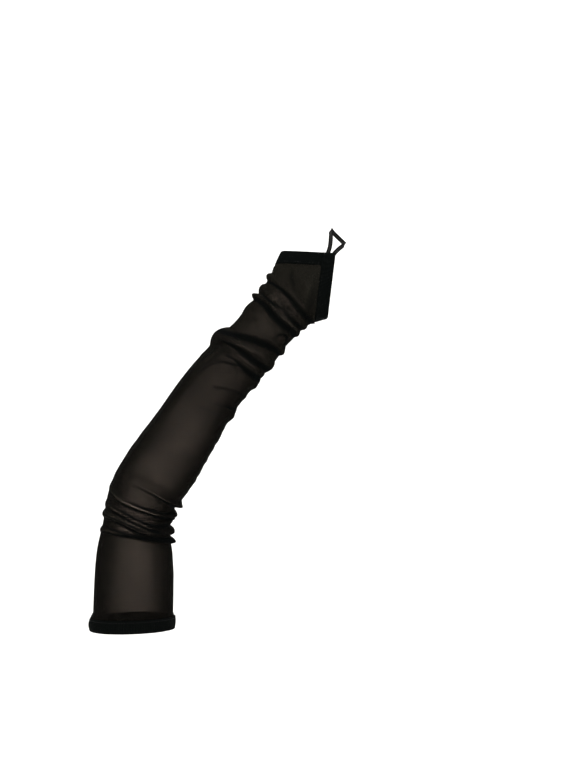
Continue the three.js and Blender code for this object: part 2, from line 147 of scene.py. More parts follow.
# Gathers of the cloth. Each has a tip, the share of its height by which the crest hangs over towards the
# point, and rows of: degrees round the sleeve, millimetres along it, height and half width in millimetres.
# Angles run from the inner, thumb side over the mitten's back (90) to the outer side (180) and over the palm.
GATHERS = {
    "roll of the arm hem": (0.0, [
        (0, 8, 1.9, 11), (90, 8, 0.5, 10), (180, 7.2, 3.6, 10), (270, 8, 1.2, 11)]),
    "elbow, lowest": (-0.2, [
        (0, 94.6, 6, 3.6), (20, 95.2, 3.4, 3.2), (36, 96, 2, 2.4), (62, 98.5, 1.2, 2), (82, 101, 1.1, 1.9),
        (106, 103, 1.4, 1.8), (122, 104.5, 1.5, 1.8), (136, 106, 1.5, 2), (149, 106.5, 1.5, 2.6),
        (180, 105.5, 1.7, 4.2), (230, 103, 1.4, 4.2), (280, 99, 1.8, 4.2), (330, 96, 3.4, 3.8)]),
    "elbow, second": (-0.2, [
        (0, 104.8, 5.4, 4.8), (20, 104.6, 3.4, 4), (45, 103.5, 1.9, 2.5), (63, 103.5, 1.7, 2),
        (72, 105, 1.8, 1.9), (83, 107.5, 1.8, 1.9), (96, 111, 1.8, 1.9), (111, 115, 1.8, 1.9),
        (128, 118, 1.9, 2), (158, 120, 2.1, 2.6), (180, 120.3, 2.4, 3.7), (200, 119, 2, 4),
        (230, 116, 2, 4.4), (270, 112, 2.2, 4.6), (320, 109, 3.4, 5)]),
    "elbow, third": (-0.2, [
        (0, 117.2, 3.8, 6.6), (18, 116, 2.4, 4.6), (36, 114, 1.2, 2.6), (64, 111.5, 1.6, 2),
        (78, 115, 1.8, 1.9), (90, 119, 1.8, 1.9), (105, 122, 1.8, 1.9), (122, 124, 1.7, 1.9),
        (142, 126, 1.6, 2.2), (160, 127, 1.2, 2.6), (180, 128, 0.6, 3.4), (230, 127, 0.8, 4),
        (280, 124, 1.2, 4.4), (330, 120, 2.4, 5.4)]),
    "elbow, fourth": (-0.2, [
        (0, 129.8, 7.2, 12.8), (18, 129, 4.4, 7.4), (38, 126.5, 2, 2.8), (64, 128.5, 1.9, 2),
        (83, 131, 1.9, 1.9), (102, 132.5, 1.8, 1.9), (130, 135, 1.5, 2), (153, 139, 1.2, 2.4),
        (180, 141, 0.6, 4), (225, 139, 1.2, 5), (270, 136, 1.9, 5.5), (320, 132, 4, 8)]),
    "elbow, highest": (-0.2, [
        (0, 154.2, 6.2, 8.4), (21, 154.2, 3.8, 5.6), (49, 153.7, 1.9, 2.6), (67, 153.5, 1.3, 2.1),
        (84, 153, 0.7, 2), (100, 152, 0.2, 2), (150, 150, 0, 2), (200, 150, 0.3, 3), (250, 152, 1.6, 4.5),
        (300, 155, 2.8, 6), (335, 155, 4.6, 7)]),
    "outer side, over the elbow": (0.0, [
        (0, 163, 0, 24), (110, 163, 0, 24), (180, 163, 1.4, 24), (250, 163, 0, 24)]),
    "outer side, forearm": (0.0, [
        (0, 209, 0, 20), (110, 209, 0, 20), (180, 209, 0.8, 20), (250, 209, 0, 20)]),
    "forearm, at the seam": (0.0, [
        (0, 266, 2, 8.4), (14, 267.5, 1.5, 6), (46, 271.5, 1, 2.4), (67, 267.5, 0.7, 2), (88, 264, 0.1, 2),
        (180, 264, 0, 2), (270, 268, 0.9, 5), (330, 267, 1.6, 7)]),
    "wrist, lowest": (0.1, [
        (0, 306.8, 2.5, 8.5), (18, 306, 1.8, 6), (40, 305, 1.2, 3), (70, 308, 1, 2.2), (95, 310.5, 0.9, 2),
        (120, 305, 0.6, 2.4), (150, 302, 0.3, 2.6), (200, 300, 0.4, 3.5), (270, 304, 1.8, 5),
        (330, 306, 2.4, 7)]),
    "wrist, second": (0.2, [
        (0, 319, 0.6, 3), (20, 319.4, 1.3, 2.8), (40, 319.8, 1.6, 2.5), (71, 320.5, 1.5, 2.4),
        (94, 321, 1.4, 2.3), (120, 318.5, 1.1, 2.3), (150, 314, 0.6, 2.8), (180, 312, 0.2, 3),
        (240, 312, 1, 4), (300, 316, 1.4, 4)]),
    "wrist, bulge": (0.15, [
        (0, 330.2, 3, 8), (20, 332.5, 2.6, 6), (40, 335, 2.3, 3.8), (60, 335.5, 2.2, 3.4),
        (80, 334, 2.3, 3.6), (100, 332, 2.6, 4.2), (120, 329.5, 3.4, 6), (135, 328, 4.6, 8.5),
        (150, 327, 5.8, 11.5), (180, 326.4, 7, 14.2), (205, 327, 6, 12.5), (240, 330, 3.6, 9),
        (300, 333, 2.8, 7)]),
    "wrist, upper lip": (-0.1, [
        (0, 354.8, 3.6, 8.4), (18, 356, 2.6, 5.4), (36, 357.5, 1.7, 3.2), (66, 355.5, 1.2, 2.4),
        (88, 351.5, 1, 2.2), (111, 347, 0.8, 2.2), (140, 343, 0.4, 2.2), (180, 342, 0, 2.5),
        (270, 350, 1.4, 5), (330, 354, 2.8, 7)]),
    "hand, below the fold": (0.1, [
        (0, 372, 0, 4), (30, 372.5, 0.9, 3.4), (60, 371, 1.2, 2.8), (90, 371, 1.1, 2.8), (120, 372.5, 1, 3),
        (150, 370, 0.8, 5), (180, 364, 1.1, 9), (220, 370, 1, 5), (300, 372, 0.8, 4)]),
    "hand, fold": (-0.1, [
        (0, 380, 2.1, 4.2), (20, 382, 1.8, 3.2), (37, 383.5, 1.6, 2.2), (64, 382, 1.3, 1.9),
        (90, 382.5, 1.2, 1.9), (120, 383.5, 1.3, 2), (150, 381.5, 2.4, 2.8), (180, 378.9, 5.4, 3.9),
        (205, 380, 3.6, 4.4), (270, 382, 1.8, 4.6), (330, 381, 2, 4.4)]),
    "hand, between the folds": (0.0, [
        (0, 390.5, 2.3, 4.2), (20, 391, 1.6, 3.2), (40, 391.5, 1.2, 2.3), (60, 391.5, 1.2, 2.1),
        (84, 394, 0.8, 2), (106, 390, 1, 2), (122, 389.5, 0.9, 2), (146, 390.2, 1.4, 3),
        (180, 390, 3.6, 6.6), (215, 391, 2, 5), (270, 391, 1, 4)]),
    "hand, below the knuckles": (-0.1, [
        (0, 405, 1.7, 7.4), (30, 404, 1.5, 3), (56, 405, 1.2, 2.2), (77, 406, 1, 2), (93, 407.5, 1, 2),
        (120, 407, 1.1, 2.2), (150, 405, 2.1, 3), (180, 403.9, 4.2, 4.7), (215, 405, 2.4, 4.4),
        (270, 404, 1.6, 4)]),
    "outer side, under the hem": (0.0, [
        (0, 427, 0, 18), (120, 427, 0, 18), (180, 427, 2.1, 18), (240, 427, 0, 18)]),
}

# Overlaps, where a gather lies down in three layers and closes the mesh over a broad band, darkened there
# also by painted shade in the colour. Rows of: degrees round the sleeve, millimetres along it, half width in
# millimetres and how fully the mesh is closed, 0 to 1, which is also the depth of the painted shade.
OVERLAPS = {
    "elbow, lowest band": [
        (0, 96, 3, 0.9), (15, 96.2, 3, 1), (36, 96.9, 3, 1), (62, 98.2, 2.9, 1), (82, 100.2, 2.4, 1),
        (104, 102.3, 1.5, 0.95), (114, 103.2, 1, 0.6), (122, 104, 0.9, 0), (320, 97, 2.4, 0),
        (345, 97, 2.4, 0.5)],
    "wrist, lowest band": [
        (0, 315, 2.4, 0.7), (20, 313.6, 3.4, 1), (37, 312.8, 3.8, 1), (60, 313.2, 2.7, 1),
        (78, 314.2, 1.6, 1), (84, 315, 1.1, 1), (96, 315.5, 1, 0.9), (104, 314, 0.9, 0.7),
        (115, 313, 0.8, 0), (320, 314, 2, 0), (345, 315, 2.4, 0.4)],
    "wrist, middle band": [
        (0, 327, 2.8, 0.7), (16, 326.7, 3.2, 1), (40, 326.2, 3.4, 1), (71, 326.6, 3.3, 1),
        (94, 326.7, 2.7, 1), (118, 325.8, 1.5, 0.95), (136, 323.5, 1, 0.8), (152, 321, 0.9, 0),
        (310, 326, 2, 0), (340, 327, 2.6, 0.4)],
    "wrist, upper band": [
        (0, 345, 3.6, 0.8), (14, 348, 4, 1), (35, 350, 4.3, 1), (66, 347.3, 4.4, 1), (88, 343.8, 4.2, 1),
        (105, 340.7, 4.2, 1), (122, 337.2, 4.2, 1), (140, 333.6, 4.2, 1), (158, 330.8, 4.2, 0.95),
        (176, 330, 3.6, 0.7), (200, 334, 2.6, 0.3), (300, 344, 2, 0), (340, 345, 3.2, 0.5)],
    "hand, fold": [
        (0, 375, 2.4, 0.7), (15, 377, 3, 1), (37, 378.4, 3.6, 1), (64, 376.9, 3.8, 1), (87, 377, 3.5, 1),
        (108, 378, 3, 1), (133, 378.3, 2.6, 1), (162, 376, 2, 0.9), (178, 374.5, 1.4, 0.4),
        (205, 374, 1.2, 0), (300, 376, 2, 0), (340, 375, 2.4, 0.4)],
    "hand, wedge": [
        (0, 386, 1.4, 0.3), (18, 387, 1.8, 0.9), (30, 387, 2.2, 1), (53, 387, 2.1, 1), (75, 387.3, 1.6, 0.9),
        (84, 388, 1.1, 0.8), (94, 389, 0.8, 0), (340, 386, 1, 0)],
    "hand, below the knuckles": [
        (0, 397, 2.6, 0.7), (10, 398, 3, 0.95), (30, 399, 3.5, 1), (56, 400, 3.2, 1), (77, 401, 2.6, 1),
        (93, 402.5, 2.1, 1), (114, 402.5, 1.7, 1), (132, 401.3, 1.6, 1), (160, 399, 1.6, 0.9),
        (178, 398, 1.4, 0.3), (200, 398, 1, 0), (330, 397, 2, 0)],
}

# Creases, narrow lines in any direction on the mitten's back: degrees, millimetres along it, half width in
# millimetres and how fully the mesh is closed, which is also the depth of painted shade laid into the colour
# along the crease. Below 0 the crease is a crest, whose stretched mesh is open and which carries a painted
# highlight.
CREASES = [
    [(110, 150, 0.8, 0.2), (86, 151.4, 0.9, 0.7), (68, 151.3, 1.1, 0.95), (50, 150.5, 1.6, 1),
     (24, 148.6, 3.4, 1), (-10, 146, 5, 0.9)],
    [(110, 135.4, 0.8, 0.1), (98, 134.4, 0.9, 0.7), (82, 133.2, 1, 0.9), (65, 132, 1.1, 1),
     (38, 130.6, 1.4, 1), (16, 133, 3, 1)],
    [(140, 133.6, 0.8, 0.1), (124, 132, 0.9, 0.7), (105, 129.9, 1.1, 0.95), (82, 127.8, 1.2, 1),
     (62, 125.6, 1.5, 1), (36, 122.4, 2.8, 1), (12, 121, 3.6, 1)],
    [(118, 125.6, 0.8, 0.3), (99, 122.2, 1, 0.8), (80, 117.4, 1.1, 0.95), (64, 113, 1.3, 1),
     (42, 110.5, 3, 1), (14, 112, 4, 1)],
    [(150, 124.6, 0.8, 0.4), (136, 123.2, 1, 0.8), (120, 121.2, 1.1, 0.95), (106, 118.4, 1.2, 1),
     (90, 114.6, 1.2, 1), (78, 111.4, 1.2, 1), (62, 107.4, 1.5, 1), (44, 104.6, 2.2, 1)],
    [(156, 119.9, 0.8, 0.4), (144, 119.2, 0.9, 0.8), (119, 116.9, 0.9, 0.9), (105, 114.4, 0.9, 0.9),
     (90, 110.9, 0.9, 0.8), (76, 107.4, 0.9, 0.4)],
    [(160, 116.9, 0.8, 0.4), (136, 116.8, 1, 0.9), (120, 114.2, 1.1, 1), (107, 111.7, 1.2, 1),
     (92, 107.6, 1.2, 1), (80, 104.4, 1.4, 1), (66, 101.8, 1.6, 0.9)],
    [(150, 108.4, 0.8, 0.3), (134, 107.7, 0.9, 0.7), (116, 105.6, 1, 0.8), (100, 103.6, 1, 0.7)],
    [(158, 103.8, 0.8, 0.4), (136, 103.2, 0.9, 0.8), (116, 101.5, 1.1, 0.95), (100, 100.4, 1.6, 1)],
    [(92, 152.8, 0.9, -0.1), (60, 153.2, 1, -0.25), (36, 153.2, 1.2, -0.2)],
    [(158, 140, 1.2, -0.2), (146, 137.2, 1.3, -0.35), (130, 134.6, 1.3, -0.4), (105, 132, 1.2, -0.4),
     (83, 130.4, 1.1, -0.4), (64, 128.7, 1, -0.35), (44, 126.8, 1, -0.2)],
    [(150, 127, 1, -0.25), (142, 126.2, 1, -0.4), (122, 124, 1, -0.4), (105, 121.1, 1, -0.3),
     (90, 117.5, 0.9, -0.3), (78, 113.8, 0.9, -0.3), (64, 110.2, 0.9, -0.3)],
    [(150, 121.6, 1, -0.2), (128, 119.3, 1, -0.3), (108, 115.9, 1, -0.35), (90, 112.5, 1.1, -0.35),
     (76, 109.4, 1.1, -0.35), (62, 105.2, 1, -0.3), (48, 102.8, 1, -0.2)],
    [(160, 118.3, 0.9, -0.4), (136, 118.1, 0.9, -0.45), (119, 115.6, 0.9, -0.45), (100, 111.6, 0.9, -0.35)],
    [(150, 113, 2, -0.05), (132, 111.6, 2.2, -0.1), (114, 109.6, 1.8, -0.1), (100, 107, 1.2, -0.08)],
    [(154, 106.1, 1, -0.5), (134, 105.5, 1.1, -0.55), (116, 103.8, 1, -0.5), (104, 102.4, 0.8, -0.2)],
    [(143, 267, 1, 0.15), (137, 277, 1, 0.3), (124, 294, 1.1, 0.45), (115, 302, 1.1, 0.6),
     (104, 307.4, 1.1, 0.7), (90, 309.6, 1.1, 0.8), (80, 313, 1.3, 1)],
    [(150, 283, 1.2, 0.1), (148, 293, 1.4, 0.35), (144, 303, 1.5, 0.45), (137, 317, 1.6, 0.5)],
    [(139, 276, 1, 0.1), (136, 288, 1.3, 0.35), (126, 303, 1.4, 0.45), (117, 321, 1.5, 0.4)],
    [(104, 321.5, 0.9, 0.2), (110, 316, 1, 0.6), (104, 314.4, 1, 0.9), (92, 315.6, 1.2, 1)],
    [(58, 360, 1.6, 0.6), (57.5, 365, 1.8, 1), (53, 368.6, 1.8, 1), (44, 370.6, 1.7, 1), (35, 370.4, 1.7, 1),
     (25, 367, 2, 1), (12, 360, 2.8, 1)],
    [(82, 264, 0.8, 0.1), (67, 266.4, 1, 0.6), (46, 270.6, 1.4, 0.9), (12, 274, 2.6, 1),
     (-10, 275, 3.4, 0.9)],
    [(96, 279.5, 1.2, 0.1), (86, 281, 1.4, 0.35), (66, 286, 1.6, 0.5), (46, 289, 1.8, 0.6),
     (16, 290, 2.4, 0.6)],
    [(98, 253.5, 1.2, 0.1), (86, 255, 1.4, 0.25), (66, 258, 1.6, 0.25), (46, 259, 1.8, 0.2)],
    [(152, 385.8, 1.2, 0.9), (138, 385.4, 1.2, 1), (120, 385.2, 1.3, 1), (106, 385.8, 1.3, 1),
     (92, 388, 1.2, 0.9), (84, 391.8, 1, 0.7), (78, 393.4, 0.8, 0.2)],
    [(132, 393, 1.6, -0.05), (116, 391.6, 1.8, -0.2), (104, 391.4, 1.8, -0.2)],
    [(88, 382.4, 1.4, -0.1), (70, 382.2, 1.4, -0.3), (46, 383, 1.4, -0.3), (28, 383.4, 1.4, -0.1)],
    [(118, 426, 2, 0.1), (112, 419, 2.4, 0.6), (104, 415, 2.2, 0.55), (98, 411, 1.6, 0.1)],
    [(48, 402, 3, 0.15), (58, 406, 4.5, 0.4), (70, 414, 5, 0.45), (78, 423, 4.5, 0.4), (84, 433, 3, 0.1)],
    [(72, 409, 1.8, -0.05), (70, 405.5, 2.2, -0.15), (84, 414, 2.2, -0.18), (88, 428, 2.2, -0.1)],
]
CREASE_RADIUS = 37.0  # of the sleeve, in millimetres, which makes a crease's degrees into a length

# Soft darker places: degrees, millimetres, half widths in both, how closed, and how deep the painted shade of
# folds is laid into the colour. Some are cloth crowded in folds, and some, as along the forearm's inner side,
# are painted shade laid in by closing the mesh.
CROWDING_AND_SHADE = [
    (4, 117, 32, 18, 0.60, 0.6),
    (44, 103, 22, 6, 0.40, 0.5),
    (30, 140, 22, 6, 0.20, 0.2),
    (158, 128, 22, 26, 0.10, 0.0),
    (4, 210, 24, 60, 0.10, 0.0),
    (10, 292, 30, 10, 0.25, 0.2),
    (2, 335, 22, 40, 0.15, 0.3),
    (134, 321, 22, 10, 0.15, 0.3),
    (158, 390, 26, 12, 0.20, 0.2),
    (12, 392, 24, 14, 0.25, 0.4),
]


def line_at(distance):
    """The sleeve's line walked leg by leg: a leg that turns adds its chord at the mean of its two leans."""
    x, z = np.zeros_like(distance), np.zeros_like(distance)
    lean = np.full_like(distance, LEG_LEANS[0])
    left = distance.copy()
    for index, (length, start, turn) in enumerate(zip(LEG_LENGTHS, LEG_LEANS, LEG_TURNS)):
        step = left if index == 4 else np.minimum(left, length)
        if index:
            step = np.where(left > 0, step, 0)
        turned = turn * step / length
        chord = 2 * length * np.sin(turned / 2) / turn if turn else step
        x += chord * np.sin(start + turned / 2)
        z += chord * np.cos(start + turned / 2)
        lean = np.where((step > 0) | (index == 0), start + turned, lean)
        left = left - step
    return x, z, lean


def section(number, distance):
    """One column of SECTIONS at a distance, on the smooth curve whose slope at a row joins its neighbours."""
    at, values = SECTIONS[:, 0], SECTIONS[:, number]
    before, after = np.maximum(np.arange(len(at)) - 1, 0), np.minimum(np.arange(len(at)) + 1, len(at) - 1)
    slope = (values[after] - values[before]) / (at[after] - at[before])
    share = np.clip(distance / SLEEVE_LENGTH, at[0], at[-1])
    low = np.clip(np.searchsorted(at, share, side="right") - 1, 0, len(at) - 2)
    span = at[low + 1] - at[low]
    t = (share - at[low]) / span
    return (
        (2 * t**3 - 3 * t**2 + 1) * values[low] + (t**3 - 2 * t**2 + t) * span * slope[low]
        + (3 * t**2 - 2 * t**3) * values[low + 1] + (t**3 - t**2) * span * slope[low + 1]
    )


def rounded(value, power):
    """The value's size to a power, with its sign kept, which squares an ellipse's corners."""
    return np.sign(value) * np.abs(value) ** power


def beside_at(distance, angle):
    """How far a point at the angle lies beside the line: rounded cosine times half the width, and shift."""
    power = 2 / section(3, distance)
    return rounded(np.cos(angle), power) * section(1, distance) / 2 + section(4, distance) * HAND_OFFSET


def cloth_point(distance, angle, lift):
    """Points of the cloth: the rounded outline at the distance, lifted along its own outward direction, stood
    square to the sleeve's line."""
    values = (np.asarray(value, float) for value in (distance, angle, lift))
    distance, angle, lift = np.broadcast_arrays(*values)
    half_width, half_depth = section(1, distance) / 2, section(2, distance) / 2
    across, forward = np.cos(angle), np.sin(angle)
    size = np.hypot(across * half_depth, forward * half_width)
    beside = beside_at(distance, angle) + across * half_depth / size * lift
    front = rounded(forward, 2 / section(3, distance)) * half_depth + forward * half_width / size * lift
    x, z, lean = line_at(distance)
    return np.stack([x + beside * np.cos(lean), -front, z - beside * np.sin(lean)], axis=-1)


def smooth_step(value, low, high):
    """0 below low, 1 above high and the smooth cubic between them."""
    t = np.clip((value - low) / (high - low), 0, 1)
    return t * t * (3 - 2 * t)


def leaning(distance, angle):
    """Rings near the arm hem lean with it, and are square to the sleeve from 77 mm up."""
    lean = ARM_HEM_LEAN * (1 - smooth_step(distance, 0.009, 0.077))
    return distance + np.tan(lean) * section(1, distance) / 2 * np.cos(angle)


def crossing(direction, edge_angle, angle, inset):
    """Where one straight edge of the pointed opening, moved back by inset, crosses the angle: halving the gap
    between two distances until they meet."""
    angle, inset = np.broadcast_arrays(np.asarray(angle, float), np.asarray(inset, float))
    low = np.full(angle.shape, SLEEVE_LENGTH - HAND_LENGTH)
    high = np.full(angle.shape, SLEEVE_LENGTH + HAND_WIDTH)
    for _ in range(34):
        middle = (low + high) / 2
        beside = beside_at(middle, angle) - POINT_OFFSET
        edge = SLEEVE_LENGTH - inset / math.cos(edge_angle) + direction * math.tan(edge_angle) * beside
        low, high = np.where(middle < edge, middle, low), np.where(middle < edge, high, middle)
    return low


def knuckle_edge(angle, inset):
    """The edge on the little finger's side."""
    return crossing(1, KNUCKLE_EDGE_ANGLE, angle, inset)


def thumb_edge(angle, inset):
    """The edge on the thumb's side."""
    return crossing(-1, THUMB_EDGE_ANGLE, angle, inset)


def back_edge(angle, inset):
    """The nearer of the two edges."""
    return np.minimum(knuckle_edge(angle, inset), thumb_edge(angle, inset))


def meeting_angle(knuckle_inset, thumb_inset):
    """The angle at which the two edges meet when each is moved back by its own inset."""
    shape = np.broadcast(knuckle_inset, thumb_inset).shape
    low, high = np.zeros(shape), np.full(shape, math.pi)
    for _ in range(30):
        middle = (low + high) / 2
        past = knuckle_edge(middle, knuckle_inset) > thumb_edge(middle, thumb_inset)
        low, high = np.where(past, middle, low), np.where(past, high, middle)
    return low


def rounding(angle):
    """How far the edge drops at the mitten's two sides, where it turns its corners: a bell at each side."""
    degrees = np.degrees(angle)
    thumb = (degrees + 180) % 360 - 180
    return 0.0022 * np.exp(-((thumb / 8) ** 2)) + 0.0020 * np.exp(-(((degrees - 180) / 9) ** 2))


def edge_distance(angle, inset):
    """The opening's edge: the two straight edges on the back of the hand, and over the palm an even passage
    from one side of the hand to the other."""
    angle, inset = np.broadcast_arrays(np.asarray(angle, float), np.asarray(inset, float))
    thumb_side, finger_side = back_edge(0.0, 0.0), back_edge(math.pi, 0.0)
    outer = thumb_side + (finger_side - thumb_side) * (1 - np.cos(angle)) / 2
    side = np.where(np.cos(angle) > 0, 0.0, math.pi)
    reach = back_edge(side, 0.0) - back_edge(side, inset)
    over_palm = outer - inset - (reach - inset) * np.cos(angle) ** 2
    return np.where(np.sin(angle) >= 0, back_edge(angle, inset), over_palm) - rounding(angle)


def round_the_sleeve(rows, angle):
    """The columns of a table at angles round the sleeve: straight from row to row, closed at the full turn
    and blurred over 20 degrees."""
    rows = np.array(sorted(rows), float)
    degrees = np.arange(0, 360, 1.0)
    window = np.hanning(21)[1:-1]
    window /= window.sum()
    at = np.degrees(angle) % 360
    columns = []
    for values in rows[:, 1:].T:
        full = np.interp(degrees, rows[:, 0], values, period=360)
        blurred = np.convolve(np.concatenate([full[-9:], full, full[:9]]), window, mode="valid")
        columns.append(np.interp(at, degrees, blurred, period=360))
    return columns


def crease(rows, distance, angle):
    """How far one crease closes the mesh: at each place the strongest of its straight legs, each fading with
    the distance to the leg, and with its width and share running evenly from one end to the other."""
    across, along = np.radians([row[0] for row in rows]) * CREASE_RADIUS, [row[1] for row in rows]
    x = (np.mod(angle + math.pi / 2, 2 * math.pi) - math.pi / 2) * CREASE_RADIUS
    y = distance / MM
    closing = np.zeros(np.broadcast(x, y).shape)
    for leg in range(len(rows) - 1):
        way_x, way_y = across[leg + 1] - across[leg], along[leg + 1] - along[leg]
        t = np.clip(((x - across[leg]) * way_x + (y - along[leg]) * way_y) / (way_x**2 + way_y**2), 0, 1)
        away = np.hypot(x - across[leg] - t * way_x, y - along[leg] - t * way_y)
        half = rows[leg][2] + t * (rows[leg + 1][2] - rows[leg][2])
        share = rows[leg][3] + t * (rows[leg + 1][3] - rows[leg][3])
        here = share * np.exp(-((away / half) ** 3))
        closing = np.where(np.abs(here) > np.abs(closing), here, closing)
    return closing


def drape(distance, angle):
    """How the cloth lies off the smooth sleeve, in metres: lift outwards and slide along it. Then how far the
    mesh is closed, how much of that is by folding, which also sets the painted shade of folds and creases in
    the colour, and a painted highlight, a lighter tone on crests and over the mitten's back towards the hand.
    A gather is a parabola across its width, whose two feet close the mesh on the back and are darkened there
    by painted shade, and an overlap closes it over its width with soft borders and is darkened the same way."""
    lift, slide, folds_and_shade = np.zeros_like(distance), np.zeros_like(distance), np.zeros_like(distance)
    front = 0.2 + 0.8 * smooth_step(np.sin(angle), -0.3, 0.1)
    for tip, rows in GATHERS.values():
        at, height, half = round_the_sleeve(rows, angle)
        t = (distance / MM - at) / half
        crest = np.clip(1 - t * t, 0, 1)
        lift += height * crest * MM
        slide += tip * height * crest * MM
        # The two feet of a steep gather close the mesh and carry painted shade into the colour; its crest is
        # left a little more open.
        steep = np.clip(height / half, 0, 1) ** 2 * front
        folds_and_shade += 0.25 * steep * np.exp(-(((np.abs(t) - 1.0) / 0.45) ** 2)) - 0.12 * steep * crest
    folds_and_shade = np.clip(folds_and_shade, -0.2, 0.7)
    # An overlap closes the mesh and lays the same share of painted shade into the colour.
    for rows in OVERLAPS.values():
        at, half, share = round_the_sleeve(rows, angle)
        t = (distance / MM - at) / half
        folds_and_shade = np.maximum(folds_and_shade, share * np.exp(-np.abs(t * 0.9) ** 4))
    # A crease closes the mesh and lays painted shade into the colour; a crest opens it and takes the painted
    # highlight.
    opened = np.zeros_like(distance)
    for rows in CREASES:
        here = crease(rows, distance, angle)
        folds_and_shade, opened = np.maximum(folds_and_shade, here), np.minimum(opened, here)
    folds_and_shade = folds_and_shade + 1.2 * opened * np.clip(1 - folds_and_shade, 0, 1)
    closed = folds_and_shade.copy()
    degrees = np.degrees(angle)
    # A darker place closes the mesh, partly for crowded cloth and partly as painted shade, and lays painted
    # fold shade into the colour by its depth.
    for at_angle, at, half_angle, half, share, depth in CROWDING_AND_SHADE:
        turn = (degrees - at_angle + 180) % 360 - 180
        here = np.exp(-((turn / half_angle) ** 2) - ((distance / MM - at) / half) ** 2)
        closed += share * here
        folds_and_shade = np.maximum(folds_and_shade, depth * here)
    along = distance / MM
    closed += np.interp(along, (0, 170, 235, 290, 345, 360), (0, 0.0, 0.01, 0.05, 0.08, 0.09))
    on_back = smooth_step(np.sin(angle), -0.1, 0.25)
    mouth = edge_distance(2 * math.pi - np.clip(angle, 0, math.pi), 0.0)
    closed += on_back * 0.50 * smooth_step(along, 404, 417)
    closed += on_back * 0.42 * smooth_step(distance - mouth, -0.004, 0.002)
    # Painted highlight: a lighter tone over the mitten's back that grows towards the hand, and on crests.
    painted_highlight = on_back * np.interp(along, (270, 325, 396, 417), (0, 0.25, 0.3, 0.6)) - 2.4 * opened
    share = distance / SLEEVE_LENGTH
    on_forearm = smooth_step(share, 0.34, 0.40) - smooth_step(share, 0.64, 0.70)
    beside_seam = np.maximum(np.cos(angle + 0.05), 0) ** 8
    waves = 0.6 * np.sin(2 * np.pi * distance / 0.0130) + 0.4 * np.sin(2 * np.pi * distance / 0.0078 + 1.3)
    lift += on_forearm * beside_seam * 0.0005 * waves
    swell = np.interp(along, (0, 164, 243, 251, 259, 271, 277, 286), (1.4, 1.3, 1.3, 0.3, 1.0, 1.0, 0.2, 1.3))
    lift += swell * MM * np.maximum(np.cos(angle), 0) ** 2 + 0.0003 * np.maximum(-np.cos(angle), 0) ** 2
    lift += ripple(distance, angle)
    return lift, slide, np.clip(closed, -0.3, 1.4), np.clip(folds_and_shade, 0, 1), np.clip(painted_highlight, 0, 1)


def ripple(distance, angle):
    """Faint drag lines that run along the sleeve: a few slow waves round it that wander as they climb."""
    climb = distance / 0.05
    waves = (
        np.sin(9 * angle + 1.1 * np.sin(climb)) + 0.7 * np.sin(14 * angle - 1.4 * climb + 2.0)
        + 0.5 * np.sin(23 * angle + 0.9 * np.sin(1.7 * climb + 1.0) + 4.0)
    )
    return 0.00012 * waves


def tube_faces(rows, columns):
    """Quads of a grid whose columns close into a ring, walked so that they face outwards."""
    row, column = np.meshgrid(np.arange(rows - 1), np.arange(columns), indexing="ij")
    after = (column + 1) % columns
    low, high = row * columns, (row + 1) * columns
    return np.stack([low + column, high + column, high + after, low + after], axis=-1).reshape(-1, 4)


def make_piece(name, points, faces, body="root"):
    """A mesh object at the origin, smooth shaded, riding on a body, with its faces turned outwards if their
    signed volume is negative. Faces are lists of arrays of corner numbers, three or four to a face."""
    points = np.ascontiguousarray(points.reshape(-1, 3), dtype=np.float64)
    faces = [np.asarray(group, dtype=np.int64) for group in faces]
    volume = 0.0
    for group in faces:
        for corner in range(1, group.shape[1] - 1):
            a, b, c = points[group[:, 0]], points[group[:, corner]], points[group[:, corner + 1]]
            volume += np.einsum("ij,ij->", a, np.cross(b, c)) / 6
    if volume < 0:
        faces = [group[:, ::-1] for group in faces]
    mesh = bpy.data.meshes.new(name)
    mesh.vertices.add(len(points))
    mesh.vertices.foreach_set("co", points.ravel())
    corners = np.concatenate([group.ravel() for group in faces])
    counts = np.concatenate([np.full(len(group), group.shape[1]) for group in faces])
    mesh.loops.add(len(corners))
    mesh.loops.foreach_set("vertex_index", corners)
    mesh.polygons.add(len(counts))
    mesh.polygons.foreach_set("loop_start", np.concatenate([[0], np.cumsum(counts)[:-1]]))
    mesh.update(calc_edges=True)
    mesh.validate()
    mesh.polygons.foreach_set("use_smooth", np.ones(len(mesh.polygons), dtype=bool))
    made = bpy.data.objects.new(name, mesh)
    bpy.context.scene.collection.objects.link(made)
    if body:
        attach(made, body)
    return made


def add_values(piece, name, values):
    """Keeps one number for each vertex of a piece, for its material."""
    kept = piece.data.attributes.new(name, "FLOAT", "POINT")
    kept.data.foreach_set("value", np.ascontiguousarray(values.ravel(), dtype=np.float32))


def add_cloth_map(piece, across, along, closes=True):
    """The piece's own map in metres of cloth, across and along it, from one pair for each vertex. Where a
    face closes the ring, its far corners are moved on by the whole way round."""
    corners = np.empty(len(piece.data.loops), dtype=np.int64)
    piece.data.loops.foreach_get("vertex_index", corners)
    pairs = np.stack([across.ravel()[corners], along.ravel()[corners]], axis=-1)
    if closes:
        whole = across.max() + (across.max() - across.min()) / (len(RING_ANGLES) - 1)
        starts = np.empty(len(piece.data.polygons), dtype=np.int64)
        piece.data.polygons.foreach_get("loop_start", starts)
        face = np.searchsorted(starts, np.arange(len(corners)), side="right") - 1
        furthest = np.maximum.reduceat(pairs[:, 0], starts)[face]
        pairs[:, 0] += np.where(furthest - pairs[:, 0] > whole / 2, whole, 0)
    made = piece.data.uv_layers.new(name="cloth")
    made.data.foreach_set("uv", np.ascontiguousarray(pairs.ravel(), dtype=np.float32))


